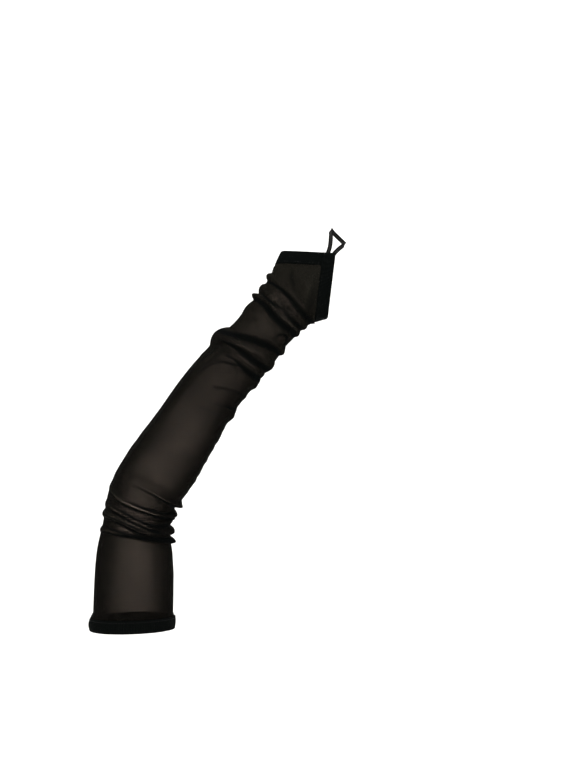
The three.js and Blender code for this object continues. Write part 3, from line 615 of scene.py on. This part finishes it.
def outward_normals(points):
    """Unit normals of a grid that closes round its columns: the cross product of its two directions."""
    up = np.gradient(points, axis=0)
    side = np.roll(points, -1, axis=1) - np.roll(points, 1, axis=1)
    normals = np.cross(side, up)
    normals /= np.linalg.norm(normals, axis=-1, keepdims=True)
    middle = points.mean(axis=1, keepdims=True)
    return normals * np.sign(np.sum(normals * (points - middle), axis=(0, 1, 2)))


HEM_REACH = HAND_HEM_WIDTH + 0.0002  # where the sheer cloth meets a hand hem
CORNER_ANGLE = float(meeting_angle(HEM_REACH, HEM_REACH))
RING_ANGLES = np.concatenate([
    np.linspace(0, CORNER_ANGLE, 25)[:-1],
    np.linspace(CORNER_ANGLE, math.pi, 41)[:-1],
    np.linspace(math.pi, 2 * math.pi, 51)[:-1],
])


def make_sleeve():
    """The sheer sleeve: rings of draped cloth, close together over the gathers, the last of them spreading
    into the pointed opening. The inner face lies one cloth thickness inside the outer one, and both ends are
    closed between the two faces."""
    straight = np.concatenate([np.arange(*part) for part in RING_ROWS])
    spread = np.linspace(0, 1, SPREAD_ROWS)
    angle = RING_ANGLES[None, :]
    low = leaning(straight[:, None], angle)
    high = SPREAD_START + spread[:, None] * (edge_distance(angle, HEM_REACH - 0.0012) - SPREAD_START)
    distance = np.concatenate([low, high])
    angle = np.broadcast_to(angle, distance.shape)
    lift, slide, *shades = drape(distance, RING_ANGLES[None, :])
    calm = 1 - smooth_step(np.concatenate([np.zeros(len(straight)), spread]), 0.90, 1.0)[:, None]
    outer = cloth_point(distance + slide * calm, angle, lift * calm)
    inner = outer - outward_normals(outer) * CLOTH_THICKNESS
    rows, columns = distance.shape
    outside = tube_faces(rows, columns)
    inside = tube_faces(rows, columns)[:, ::-1] + rows * columns
    ring = np.arange(columns)
    after = (ring + 1) % columns
    shift = rows * columns
    last = (rows - 1) * columns
    bottom = np.stack([ring, after, after + shift, ring + shift], axis=-1)
    top = np.stack([ring + last, ring + last + shift, after + last + shift, after + last], axis=-1)
    sleeve = make_piece("sheer_sleeve", np.concatenate([outer, inner]), [outside, inside, bottom, top])
    for name, values in zip(("closed", "folds_and_shade", "painted_highlight"), shades):
        values = np.broadcast_to(values, distance.shape)
        add_values(sleeve, name, np.concatenate([values, values]))
    across = angle / (2 * math.pi) * FLAT_GIRTH
    add_cloth_map(sleeve, np.concatenate([across, across]), np.concatenate([distance, distance]))
    return sleeve


def band_profile(steps):
    """The cross section of a doubled band: across it from 0, the sewn side, to 1, the turned-over edge, and
    the height off its middle as a share of half its thickness. Ends are round and the turned-over edge is a
    bead."""
    up = (1 - np.cos(np.pi * np.arange(steps + 1) / steps)) / 2
    across = np.concatenate([up, up[-2:0:-1]])
    face = np.where(np.arange(len(across)) <= steps, 1.0, -1.0)
    round_end = np.sqrt(np.clip(1 - np.abs(2 * across - 1) ** 16, 0, 1))
    bead = 0.35 * np.exp(-(((across - 0.93) / 0.06) ** 2)) + 0.22 * np.exp(-(((across - 0.05) / 0.05) ** 2))
    groove = -0.30 * np.exp(-(((across - 0.16) / 0.03) ** 2))
    return across, face * round_end * (1 + bead + groove)


def make_arm_hem():
    """The doubled band round the arm opening: the band's cross section carried round a leaning ring, with a
    faint wave along it where the elastic cloth draws in."""
    across, height = band_profile(16)
    angle = np.linspace(0, 2 * math.pi, 240, endpoint=False)
    along = (1 - across)[:, None] * ARM_HEM_WIDTH
    distance = leaning(np.broadcast_to(along, (len(across), len(angle))), angle[None, :])
    lift = drape(along + 0 * angle[None, :], angle[None, :])[0]
    wave = 0.00012 * np.sin(46 * angle + 1.5 * np.sin(3 * angle))[None, :] * np.sin(np.pi * across)[:, None]
    stand = 0.00015 + height[:, None] * HEM_THICKNESS / 2
    points = cloth_point(distance, angle[None, :], lift + stand + wave)
    grid = points.transpose(1, 0, 2)
    rows, columns = grid.shape[:2]
    row, column = np.meshgrid(np.arange(rows), np.arange(columns), indexing="ij")
    next_row, next_column = (row + 1) % rows, (column + 1) % columns
    quads = [row * columns + column, next_row * columns + column, next_row * columns + next_column,
             row * columns + next_column]
    hem = make_piece("arm_hem_band", grid, [np.stack(quads, axis=-1).reshape(-1, 4)])
    girth = 0.262 * angle / (2 * math.pi)
    shape = grid.shape[:2]
    add_cloth_map(hem, np.broadcast_to(girth[:, None], shape), np.broadcast_to(along[:, 0], shape))
    return hem


def make_strip(name, grid, across, along):
    """A strip with two ends: rows of closed cross sections, each end closed by a fan to its middle."""
    rows, columns = grid.shape[:2]
    ends = np.stack([grid[0].mean(axis=0), grid[-1].mean(axis=0)])
    points = np.concatenate([grid.reshape(-1, 3), ends])
    ring = np.arange(columns)
    after = (ring + 1) % columns
    first = np.stack([np.full(columns, rows * columns), ring, after], axis=-1)
    last = np.stack([np.full(columns, rows * columns + 1), after + (rows - 1) * columns,
                     ring + (rows - 1) * columns], axis=-1)
    strip = make_piece(name, points, [tube_faces(rows, columns), first, last])
    across = np.concatenate([across.ravel(), [across.mean()] * 2])
    along = np.concatenate([along.ravel(), [along.min(), along.max()]])
    add_cloth_map(strip, across, along, closes=False)
    return strip


def hem_grid(angles, place, across, height):
    """Points of a hand hem. angles and place give, for a step along the hem and an inset, the angle and the
    distance along the arm. The band's cross section stands on the smooth hand, with a faint wave along it."""
    steps = np.arange(angles.shape[0])[:, None]
    wave = 0.00016 * np.sin(steps * 0.55 + 1.2 * np.sin(steps * 0.11)) * np.sin(np.pi * across)[None, :]
    return cloth_point(place, angles, 0.0002 + height[None, :] * HEM_THICKNESS / 2 + wave)


def make_knuckle_hem():
    """The hem on the little finger's side: from the point over the knuckles, round the side of the hand and
    over the palm to the thumb's side."""
    across, height = band_profile(14)
    inset = HAND_HEM_WIDTH * (1 - across)
    corner = meeting_angle(inset, np.full_like(inset, HEM_REACH - 0.0016))
    end = 2 * math.pi - 0.0022
    steps = np.concatenate([np.linspace(0, 1, 61)[:-1], np.linspace(1, 2, 111)])[:, None]
    angles = np.where(steps < 1, corner + (math.pi - corner) * steps, math.pi + (end - math.pi) * (steps - 1))
    place = edge_distance(angles, np.broadcast_to(inset, angles.shape))
    grid = hem_grid(angles, place, across, height)
    grid[:, :, 1] += 0.0007 * (1 - smooth_step(steps, 0.0, 0.07))
    length = np.broadcast_to(steps * 0.095, angles.shape)
    return make_strip("knuckle_hem_band", grid, length, np.broadcast_to(inset, angles.shape))


def make_thumb_hem():
    """The hem on the thumb's side: from the side of the hand straight up to the point, over the end of the
    knuckles' hem."""
    across, height = band_profile(14)
    inset = HAND_HEM_WIDTH * (1 - across)
    corner = meeting_angle(np.zeros_like(inset), inset)
    steps = np.linspace(0, 1, 90)[:, None]
    angles = 0.0022 + (corner - 0.0022) * steps
    place = thumb_edge(angles, np.broadcast_to(inset, angles.shape)) - rounding(angles)
    grid = hem_grid(angles, place, across, height)
    length = np.broadcast_to(steps * 0.085, angles.shape)
    return make_strip("thumb_hem_band", grid, length, np.broadcast_to(inset, angles.shape))


def make_seam():
    """The overlocked seam on the inner side of the sleeve: a low ridge of round section carried up the cloth,
    wavy where the stretched cloth puckers along it."""
    distance = np.linspace(0.0142, float(thumb_edge(0.02, HEM_REACH)), 420)
    wander = 0.018 * np.sin(distance / 0.0041) * smooth_step(distance, 0.02, 0.05)
    angle = np.full_like(distance, SEAM_ANGLE)
    lift, slide = (values[:, 0] for values in drape(distance[:, None], angle[:1])[:2])
    middle = cloth_point(distance + slide, angle + wander, lift)
    outward = cloth_point(distance, angle, 0.001) - cloth_point(distance, angle, 0.0)
    outward /= np.linalg.norm(outward, axis=-1, keepdims=True)
    forward = np.gradient(middle, axis=0)
    forward /= np.linalg.norm(forward, axis=-1, keepdims=True)
    sideways = np.cross(forward, outward)
    sideways /= np.linalg.norm(sideways, axis=-1, keepdims=True)
    turn = np.linspace(0, 2 * math.pi, 12, endpoint=False)
    thick = 1 + 0.16 * np.sin(distance * 2 * math.pi / 0.0024)[:, None, None]
    grid = (
        middle[:, None, :] + outward[:, None, :] * (0.00005 + 0.0007 * np.sin(turn))[None, :, None] * thick
        + sideways[:, None, :] * (0.0011 * np.cos(turn))[None, :, None] * thick
    )
    across = np.broadcast_to(0.0035 * turn / (2 * math.pi), grid.shape[:2])
    return make_strip("inner_seam", grid, across, np.broadcast_to(distance[:, None], grid.shape[:2]))


def make_stitches(name, path, outward):
    """A row of stitches: one slim pod for each, pointed at both ends, laid end to end along a path at equal
    lengths of it and sunk a little into the cloth."""
    step = np.linalg.norm(np.diff(path, axis=0), axis=1)
    along = np.concatenate([[0], np.cumsum(step)])
    count = int(along[-1] / (STITCH_LENGTH + STITCH_GAP))
    at = (np.arange(count) + 0.5) * along[-1] / count
    pick = lambda values: np.stack([np.interp(at, along, values[:, axis]) for axis in range(3)], axis=-1)
    middle, out = pick(path), pick(outward)
    forward = pick(np.gradient(path, axis=0))
    forward /= np.linalg.norm(forward, axis=-1, keepdims=True)
    side = np.cross(forward, out)
    side /= np.linalg.norm(side, axis=-1, keepdims=True)
    places, widths = np.array([-0.5, -0.32, 0.0, 0.32, 0.5]), np.array([0.25, 0.85, 1.0, 0.85, 0.25])
    turn = np.linspace(0, 2 * math.pi, 6, endpoint=False)
    local_along = np.repeat(places * STITCH_LENGTH, 6)
    local_side = (widths[:, None] * np.cos(turn)).ravel() * THREAD_RADIUS
    local_out = (widths[:, None] * np.sin(turn)).ravel() * THREAD_RADIUS
    points = (
        middle[:, None, :] + forward[:, None, :] * local_along[None, :, None]
        + side[:, None, :] * local_side[None, :, None] + out[:, None, :] * local_out[None, :, None]
    )
    quads, ends = tube_faces(5, 6), np.array([np.arange(6), np.arange(29, 23, -1)])
    shift = (np.arange(count) * 30)[:, None, None]
    faces = [(group[None] + shift).reshape(-1, group.shape[1]) for group in (quads, ends)]
    return make_piece(name, points, faces)


def stitch_line(distance, angle, lift):
    """Points at a height over the smooth sleeve, and their outward directions."""
    path = cloth_point(distance, angle, lift)
    outward = cloth_point(distance, angle, lift + 0.001) - path
    return path, outward / np.linalg.norm(outward, axis=-1, keepdims=True)


def make_arm_hem_stitches():
    """The stitch row that holds the arm hem, just below its upper side."""
    angle = np.linspace(0, 2 * math.pi, 721)
    along = np.full_like(angle, ARM_HEM_WIDTH - STITCH_INSET)
    raise_by = drape(along[None, :], angle[None, :])[0][0]
    line = stitch_line(leaning(along, angle), angle, raise_by + STITCH_HEIGHT)
    return make_stitches("arm_hem_stitches", *line)


def make_hand_stitches():
    """The stitch rows of the two hand hems, just inside their sewn sides."""
    inset = HAND_HEM_WIDTH - STITCH_INSET
    corner = float(meeting_angle(inset, HEM_REACH))
    angle = np.linspace(corner + 0.02, 2 * math.pi - 0.01, 900)
    line = stitch_line(edge_distance(angle, inset), angle, STITCH_HEIGHT)
    knuckles = make_stitches("knuckle_hem_stitches", *line)
    angle = np.linspace(0.01, float(meeting_angle(0.0008, inset)), 400)
    line = stitch_line(thumb_edge(angle, inset) - rounding(angle), angle, STITCH_HEIGHT)
    return [knuckles, make_stitches("thumb_hem_stitches", *line)]


def soften(path):
    """A path with each point moved to the weighted mean of the seven round it. Its ends stay."""
    window = np.array([1, 3, 5, 6, 5, 3, 1]) / 24
    padded = np.concatenate([2 * path[:1] - path[3:0:-1], path, 2 * path[-1:] - path[-2:-5:-1]])
    return np.stack([np.convolve(padded[:, axis], window, mode="valid") for axis in range(3)], axis=-1)


def make_loop():
    """The finger loop: a flat tape carried from behind the hem up one side of the finger, round its palm side
    and back down. Its cross section is a thin rounded bar with a sewn edge on each side."""
    outer_foot, inner_foot = LOOP_OUTER_FOOT - LOOP_OFFSET, LOOP_INNER_FOOT - LOOP_OFFSET

    def strand(foot, sign, rise):
        turn_at = lambda aside: (
            -np.sign(aside) * np.arcsin((np.abs(aside) / LOOP_HALF_WIDTH) ** (LOOP_CORNER / 2)))
        step = np.arange(1, 25) / 24
        aside = foot + (sign * LOOP_HALF_WIDTH - foot) * np.sin(np.pi / 2 * step)
        share = (aside - foot) / (sign * LOOP_HALF_WIDTH - foot)
        turns = np.concatenate([np.full(5, turn_at(foot)), turn_at(aside)])
        return turns, np.concatenate([np.linspace(-LOOP_TAB, 0, 5), rise * share])

    first_turn, first_height = strand(outer_foot, -1, LOOP_RISE_OUTER)
    last_turn, last_height = strand(inner_foot, 1, LOOP_RISE_INNER)
    around = np.pi * (0.5 + np.arange(1, 40) / 40)
    behind = LOOP_RISE_INNER + (LOOP_RISE_OUTER - LOOP_RISE_INNER) * (1 + np.sin(around)) / 2
    turn = np.concatenate([first_turn, around, last_turn[::-1] % (2 * np.pi)])
    height = np.concatenate([first_height, behind, last_height[::-1]])
    rising = np.clip(np.arange(len(first_turn)) - 4, 0, None) / 24
    sideness = np.concatenate([rising**3, np.ones(len(around)), rising[::-1] ** 3])
    point = cloth_point(SLEEVE_LENGTH, float(meeting_angle(0.0, 0.0)), 0.0)
    finger = np.array([math.sin(LOOP_LEAN), 0, math.cos(LOOP_LEAN)])
    to_thumb = np.array([finger[2], 0, -finger[0]])
    behind_point = LOOP_BEHIND_HEM + LOOP_THICKNESS / 2 + LOOP_HALF_DEPTH
    middle = point + to_thumb * LOOP_OFFSET + np.array([0, behind_point, 0])
    power = 2 / LOOP_CORNER
    aside = LOOP_HALF_WIDTH * rounded(np.sin(turn), power)
    centre = middle + finger * height[:, None] - to_thumb * aside[:, None]
    centre[:, 1] -= LOOP_HALF_DEPTH * rounded(np.cos(turn), power)
    for _ in range(9):
        centre = soften(centre)
    outward = -to_thumb * (sideness * np.sin(turn) / LOOP_HALF_WIDTH)[:, None]
    outward[:, 1] -= np.cos(turn) / LOOP_HALF_DEPTH
    outward = soften(soften(outward))
    outward /= np.linalg.norm(outward, axis=-1, keepdims=True)
    forward = np.gradient(centre, axis=0)
    sideways = np.cross(forward, outward)
    sideways /= np.linalg.norm(sideways, axis=-1, keepdims=True)
    outward = np.cross(sideways, forward)
    outward /= np.linalg.norm(outward, axis=-1, keepdims=True)
    across, face = band_profile(10)
    beads = 1 + 0.35 * np.exp(-(((np.abs(across - 0.5) - 0.36) / 0.07) ** 2))
    stand = np.sign(face) * np.minimum(np.abs(face), 1) * beads * LOOP_THICKNESS / 2
    grid = (
        centre[:, None, :] + sideways[:, None, :] * ((across - 0.5) * LOOP_WIDTH)[None, :, None]
        + outward[:, None, :] * stand[None, :, None]
    )
    length = np.concatenate([[0], np.cumsum(np.linalg.norm(np.diff(centre, axis=0), axis=1))])
    shape = grid.shape[:2]
    return make_strip("finger_loop_tape", grid, np.broadcast_to(across * LOOP_WIDTH, shape),
                      np.broadcast_to(length[:, None], shape))


def linear(colour):
    """A six-figure sRGB hex colour as linear red, green, blue and full cover."""
    parts = np.array([int(colour[index:index + 2], 16) for index in (0, 2, 4)]) / 255
    return tuple(np.where(parts <= 0.04045, parts / 12.92, ((parts + 0.055) / 1.055) ** 2.4)) + (1.0,)


def add_node(tree, kind, *values, named=None, **settings):
    """Adds a node with its settings, then sets or links its inputs: the values in their order, then the named
    ones. A node given as a value links its first output."""
    made = tree.nodes.new("ShaderNode" + kind)
    for key, value in settings.items():
        setattr(made, key, value)
    for key, value in [*enumerate(values), *(named or {}).items()]:
        value = value.outputs[0] if isinstance(value, bpy.types.Node) else value
        if isinstance(value, bpy.types.NodeSocket):
            tree.links.new(value, made.inputs[key])
        else:
            made.inputs[key].default_value = value
    return made


def start_material(name):
    """An empty node material, its tree and a short way to add a node to the tree."""
    made = bpy.data.materials.new(name)
    made.use_nodes = True
    made.node_tree.nodes.clear()
    return made, functools.partial(add_node, made.node_tree)


# Nylon and elastane power net, warp knitted: a fine open mesh, so a pale ground shows through a single layer,
# stained faintly brown by the filaments, and layers that overlap are nearly black. It closes up where it is
# seen aslant.
MESH_PITCH = 0.0024  # real openings are about 1 mm apart, drawn coarser so that they show
MESH_PASS = 0.36  # light that passes one face square on, two faces to a wall


def sheer_mesh():
    material, add = start_material("sheer_nylon_net")
    way = add("SeparateXYZ", add("UVMap", uv_map="cloth")).outputs
    turn = math.pi / MESH_PITCH
    across = add("Math", add("Math", way[0], turn, operation="MULTIPLY"), operation="SINE")
    along = add("Math", add("Math", way[1], turn, operation="MULTIPLY"), operation="SINE")
    weave = add("Math", add("Math", across, along, operation="MULTIPLY"), operation="ABSOLUTE")
    place = add("TexCoord").outputs["Object"]
    cloud = add("TexNoise", named={"Vector": place, "Scale": 60.0, "Detail": 2.0})
    grain = add("TexNoise", named={"Vector": place, "Scale": 420.0, "Detail": 2.0})
    closed = add("Attribute", attribute_name="closed").outputs["Fac"]
    folds_and_shade = add("Attribute", attribute_name="folds_and_shade").outputs["Fac"]
    painted_highlight = add("Attribute", attribute_name="painted_highlight").outputs["Fac"]
    # The net's cover: more layers where it is closed, less at its openings unless they are closed, uneven.
    hole = add("MapRange", weave, 0.45, 0.95, interpolation_type="SMOOTHSTEP")
    hole = add("Math", hole, add("MapRange", closed, 0.0, 0.7, 1.0, 0.0), operation="MULTIPLY")
    cover = add("Math", closed, 2.1, 1.0, operation="MULTIPLY_ADD")
    for pattern, depth, base in ((hole, -0.62, 1.12), (cloud, 0.40, 0.80), (grain, 0.60, 0.70)):
        share = add("Math", pattern, depth, base, operation="MULTIPLY_ADD")
        cover = add("Math", cover, share, operation="MULTIPLY")
    # What passes: a power of the cover over how squarely the cloth is seen.
    facing = add("LayerWeight", 0.5).outputs["Facing"]
    square = add("Math", add("Math", 1.0, facing, operation="SUBTRACT"), 0.14, operation="MAXIMUM")
    square = add("Math", square, 1.3, operation="POWER")
    passed = add("Math", MESH_PASS, add("Math", cover, square, operation="DIVIDE"), operation="POWER")
    alpha = add("Math", 1.0, passed, operation="SUBTRACT")
    colour = add("Mix", named={0: grain, 6: linear("080808"), 7: linear("12100d")},
                 data_type="RGBA").outputs[2]
    # Painted light in the colour: lighter and warmer where the painted highlight lies, on crests and the
    # mitten's back, and near black where the painted shade of folds and creases lies.
    for share, shade in ((painted_highlight, "191814"), (folds_and_shade, "050606")):
        colour = add("Mix", named={0: share, 6: colour, 7: linear(shade)}, data_type="RGBA").outputs[2]
    bump = add("Bump", named={"Height": weave, "Strength": 0.25, "Distance": 0.0003})
    cloth = add("BsdfPrincipled", named={
        "Base Color": colour, "Roughness": 0.8, "Specular IOR Level": 0.004, "IOR": 1.53, "Normal": bump})
    through = add("BsdfTransparent", linear("fff9f4"))
    add("OutputMaterial", add("MixShader", alpha, through, cloth))
    return material


# The same net doubled and turned under as a hem. Two layers let almost nothing through, so the band is a deep
# matt black with a faint rib from the knitted wales.
RIB_PITCH = 0.0026  # real wales are about 0.8 mm apart, drawn coarser so that they show
COURSE_PITCH = 0.0019  # of the rows of loops across the wales


def doubled_mesh():
    material, add = start_material("doubled_nylon_net_hem")
    way = add("SeparateXYZ", add("UVMap", uv_map="cloth")).outputs
    rib = add("Math", add("Math", way[0], 2 * math.pi / RIB_PITCH, operation="MULTIPLY"), operation="SINE")
    turn = 2 * math.pi / COURSE_PITCH
    course = add("Math", add("Math", way[1], turn, operation="MULTIPLY"), operation="SINE")
    weave = add("Math", course, 0.4, rib, operation="MULTIPLY_ADD")
    place = add("TexCoord").outputs["Object"]
    cloud = add("TexNoise", named={"Vector": place, "Scale": 120.0, "Detail": 4.0})
    shade = add("Math", cloud, 0.5, add("MapRange", weave, -1.4, 1.4, 0.0, 0.6), operation="MULTIPLY_ADD")
    colour = add("Mix", named={0: shade, 6: linear("030404"), 7: linear("090b0a")},
                 data_type="RGBA").outputs[2]
    bump = add("Bump", named={"Height": weave, "Strength": 0.3, "Distance": 0.0003})
    add("OutputMaterial", add("BsdfPrincipled", named={
        "Base Color": colour, "Roughness": 0.8, "Specular IOR Level": 0.008, "IOR": 1.53, "Normal": bump}))
    return material


# Woven elastic tape: a flat narrow ribbon with a stitched line along each edge, a little smoother than net.
PICK_PITCH = 0.0016  # real weft threads are about 0.4 mm apart, drawn coarser so that they show


def loop_tape():
    material, add = start_material("woven_elastic_tape")
    way = add("SeparateXYZ", add("UVMap", uv_map="cloth")).outputs
    off_middle = add("Math", add("Math", way[0], LOOP_WIDTH / 2, operation="SUBTRACT"), operation="ABSOLUTE")
    edge = add("MapRange", off_middle, 0.0008, 0.0014)
    pick = add("Math", add("Math", way[1], 2 * math.pi / PICK_PITCH, operation="MULTIPLY"), operation="SINE")
    colour = add("Mix", named={0: edge, 6: linear("1c1b1a"), 7: linear("070707")},
                 data_type="RGBA").outputs[2]
    bump = add("Bump", named={"Height": pick, "Strength": 0.4, "Distance": 0.0002})
    add("OutputMaterial", add("BsdfPrincipled", named={
        "Base Color": colour, "Roughness": 0.6, "Specular IOR Level": 0.05, "IOR": 1.53, "Normal": bump}))
    return material


# Spun polyester sewing thread, black, with the slight gloss of twisted filament.
def sewing_thread():
    material, add = start_material("polyester_sewing_thread")
    place = add("TexCoord").outputs["Object"]
    twist = add("TexNoise", named={"Vector": place, "Scale": 1800.0, "Detail": 1.0})
    colour = add("Mix", named={0: twist, 6: linear("070707"), 7: linear("161616")},
                 data_type="RGBA").outputs[2]
    add("OutputMaterial", add("BsdfPrincipled", named={
        "Base Color": colour, "Roughness": 0.5, "Specular IOR Level": 0.08, "IOR": 1.55}))
    return material


# Seamless paper, matt and almost white.
def stage_paint():
    material, add = start_material("white_studio_paper")
    add("OutputMaterial", add("BsdfPrincipled", named={
        "Base Color": linear("f2f1ef"), "Roughness": 0.9, "Specular IOR Level": 0.2}))
    return material


def make_stage():
    """Floor and backdrop in one sheet of paper: flat to the back, a quarter round, then upright."""
    radius = 0.7
    bend = np.linspace(0, np.pi / 2, 25)
    depth = np.concatenate([[-6.0], BACKDROP_DISTANCE - radius + radius * np.sin(bend), [BACKDROP_DISTANCE]])
    height = np.concatenate([[0.0], radius * (1 - np.cos(bend)), [5.0]]) + FLOOR_HEIGHT
    grid = np.stack([np.stack([np.full_like(depth, x), depth, height], axis=-1) for x in (-6.0, 6.0)])
    columns = len(depth)
    column = np.arange(columns - 1)
    quads = np.stack([column, column + columns, column + columns + 1, column + 1], axis=-1)
    paper = make_piece("studio_paper", grid, [quads], body=None)
    paper.data.materials.append(stage_paint())


def add_area_light(name, place, target, size, power):
    """A square soft light at a place, turned to face a target."""
    light = bpy.data.lights.new(name, "AREA")
    light.shape = "SQUARE"
    light.size = size
    light.energy = power
    made = bpy.data.objects.new(name, light)
    bpy.context.scene.collection.objects.link(made)
    way = np.array(target) - np.array(place)
    made.location = place
    made.rotation_euler = (
        math.atan2(math.hypot(way[0], way[1]), -way[2]), 0, math.atan2(-way[0], way[1]))
    return made


def make_studio():
    """The camera level in front of the mitten, as the photograph sees it, and five soft lights."""
    scene = bpy.context.scene
    camera = bpy.data.cameras.new("camera")
    camera.lens = CAMERA_LENS
    camera.sensor_width = 36
    seen = bpy.data.objects.new("camera", camera)
    seen.location = CAMERA_PLACE
    seen.rotation_euler = (math.pi / 2, 0, 0)
    scene.collection.objects.link(seen)
    scene.camera = seen
    middle = (0.13, 0.0, 0.2)
    add_area_light("key", (-1.3, -2.2, 1.9), middle, 1.4, 44)
    add_area_light("fill", (1.9, -1.9, 1.0), middle, 1.8, 20)
    add_area_light("over", (0.1, 0.2, 2.6), middle, 1.8, 22)
    add_area_light("floor", (0.1, -0.3, 2.4), (0.1, 1.5, 0.5), 1.8, 34)
    add_area_light("backdrop", (0.1, 1.3, 2.7), (0.1, 3.2, 1.2), 1.8, 55)
    world = bpy.data.worlds.new("studio_air")
    world.use_nodes = True
    world.node_tree.nodes["Background"].inputs[0].default_value = (1, 1, 1, 1)
    world.node_tree.nodes["Background"].inputs[1].default_value = 0.62
    scene.world = world
    scene.view_settings.view_transform = "Standard"


make_studio()
make_stage()

sleeve = make_sleeve()
arm_hem = make_arm_hem()
knuckle_hem = make_knuckle_hem()
thumb_hem = make_thumb_hem()
seam = make_seam()
loop = make_loop()
stitches = [make_arm_hem_stitches(), *make_hand_stitches()]

net, hem_net, tape, thread = sheer_mesh(), doubled_mesh(), loop_tape(), sewing_thread()
for piece, material, slot in [
    (sleeve, net, "sheer_mesh"), (arm_hem, hem_net, "doubled_mesh"), (knuckle_hem, hem_net, "doubled_mesh"),
    (thumb_hem, hem_net, "doubled_mesh"), (seam, hem_net, "doubled_mesh"), (loop, tape, "loop_tape"),
    *((row, thread, "doubled_mesh") for row in stitches),
]:
    piece.data.materials.append(material)

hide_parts("sleeve")
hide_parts("arm_hem")
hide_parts("hand_hem")
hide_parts("thumb_hem")
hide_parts("finger_loop")
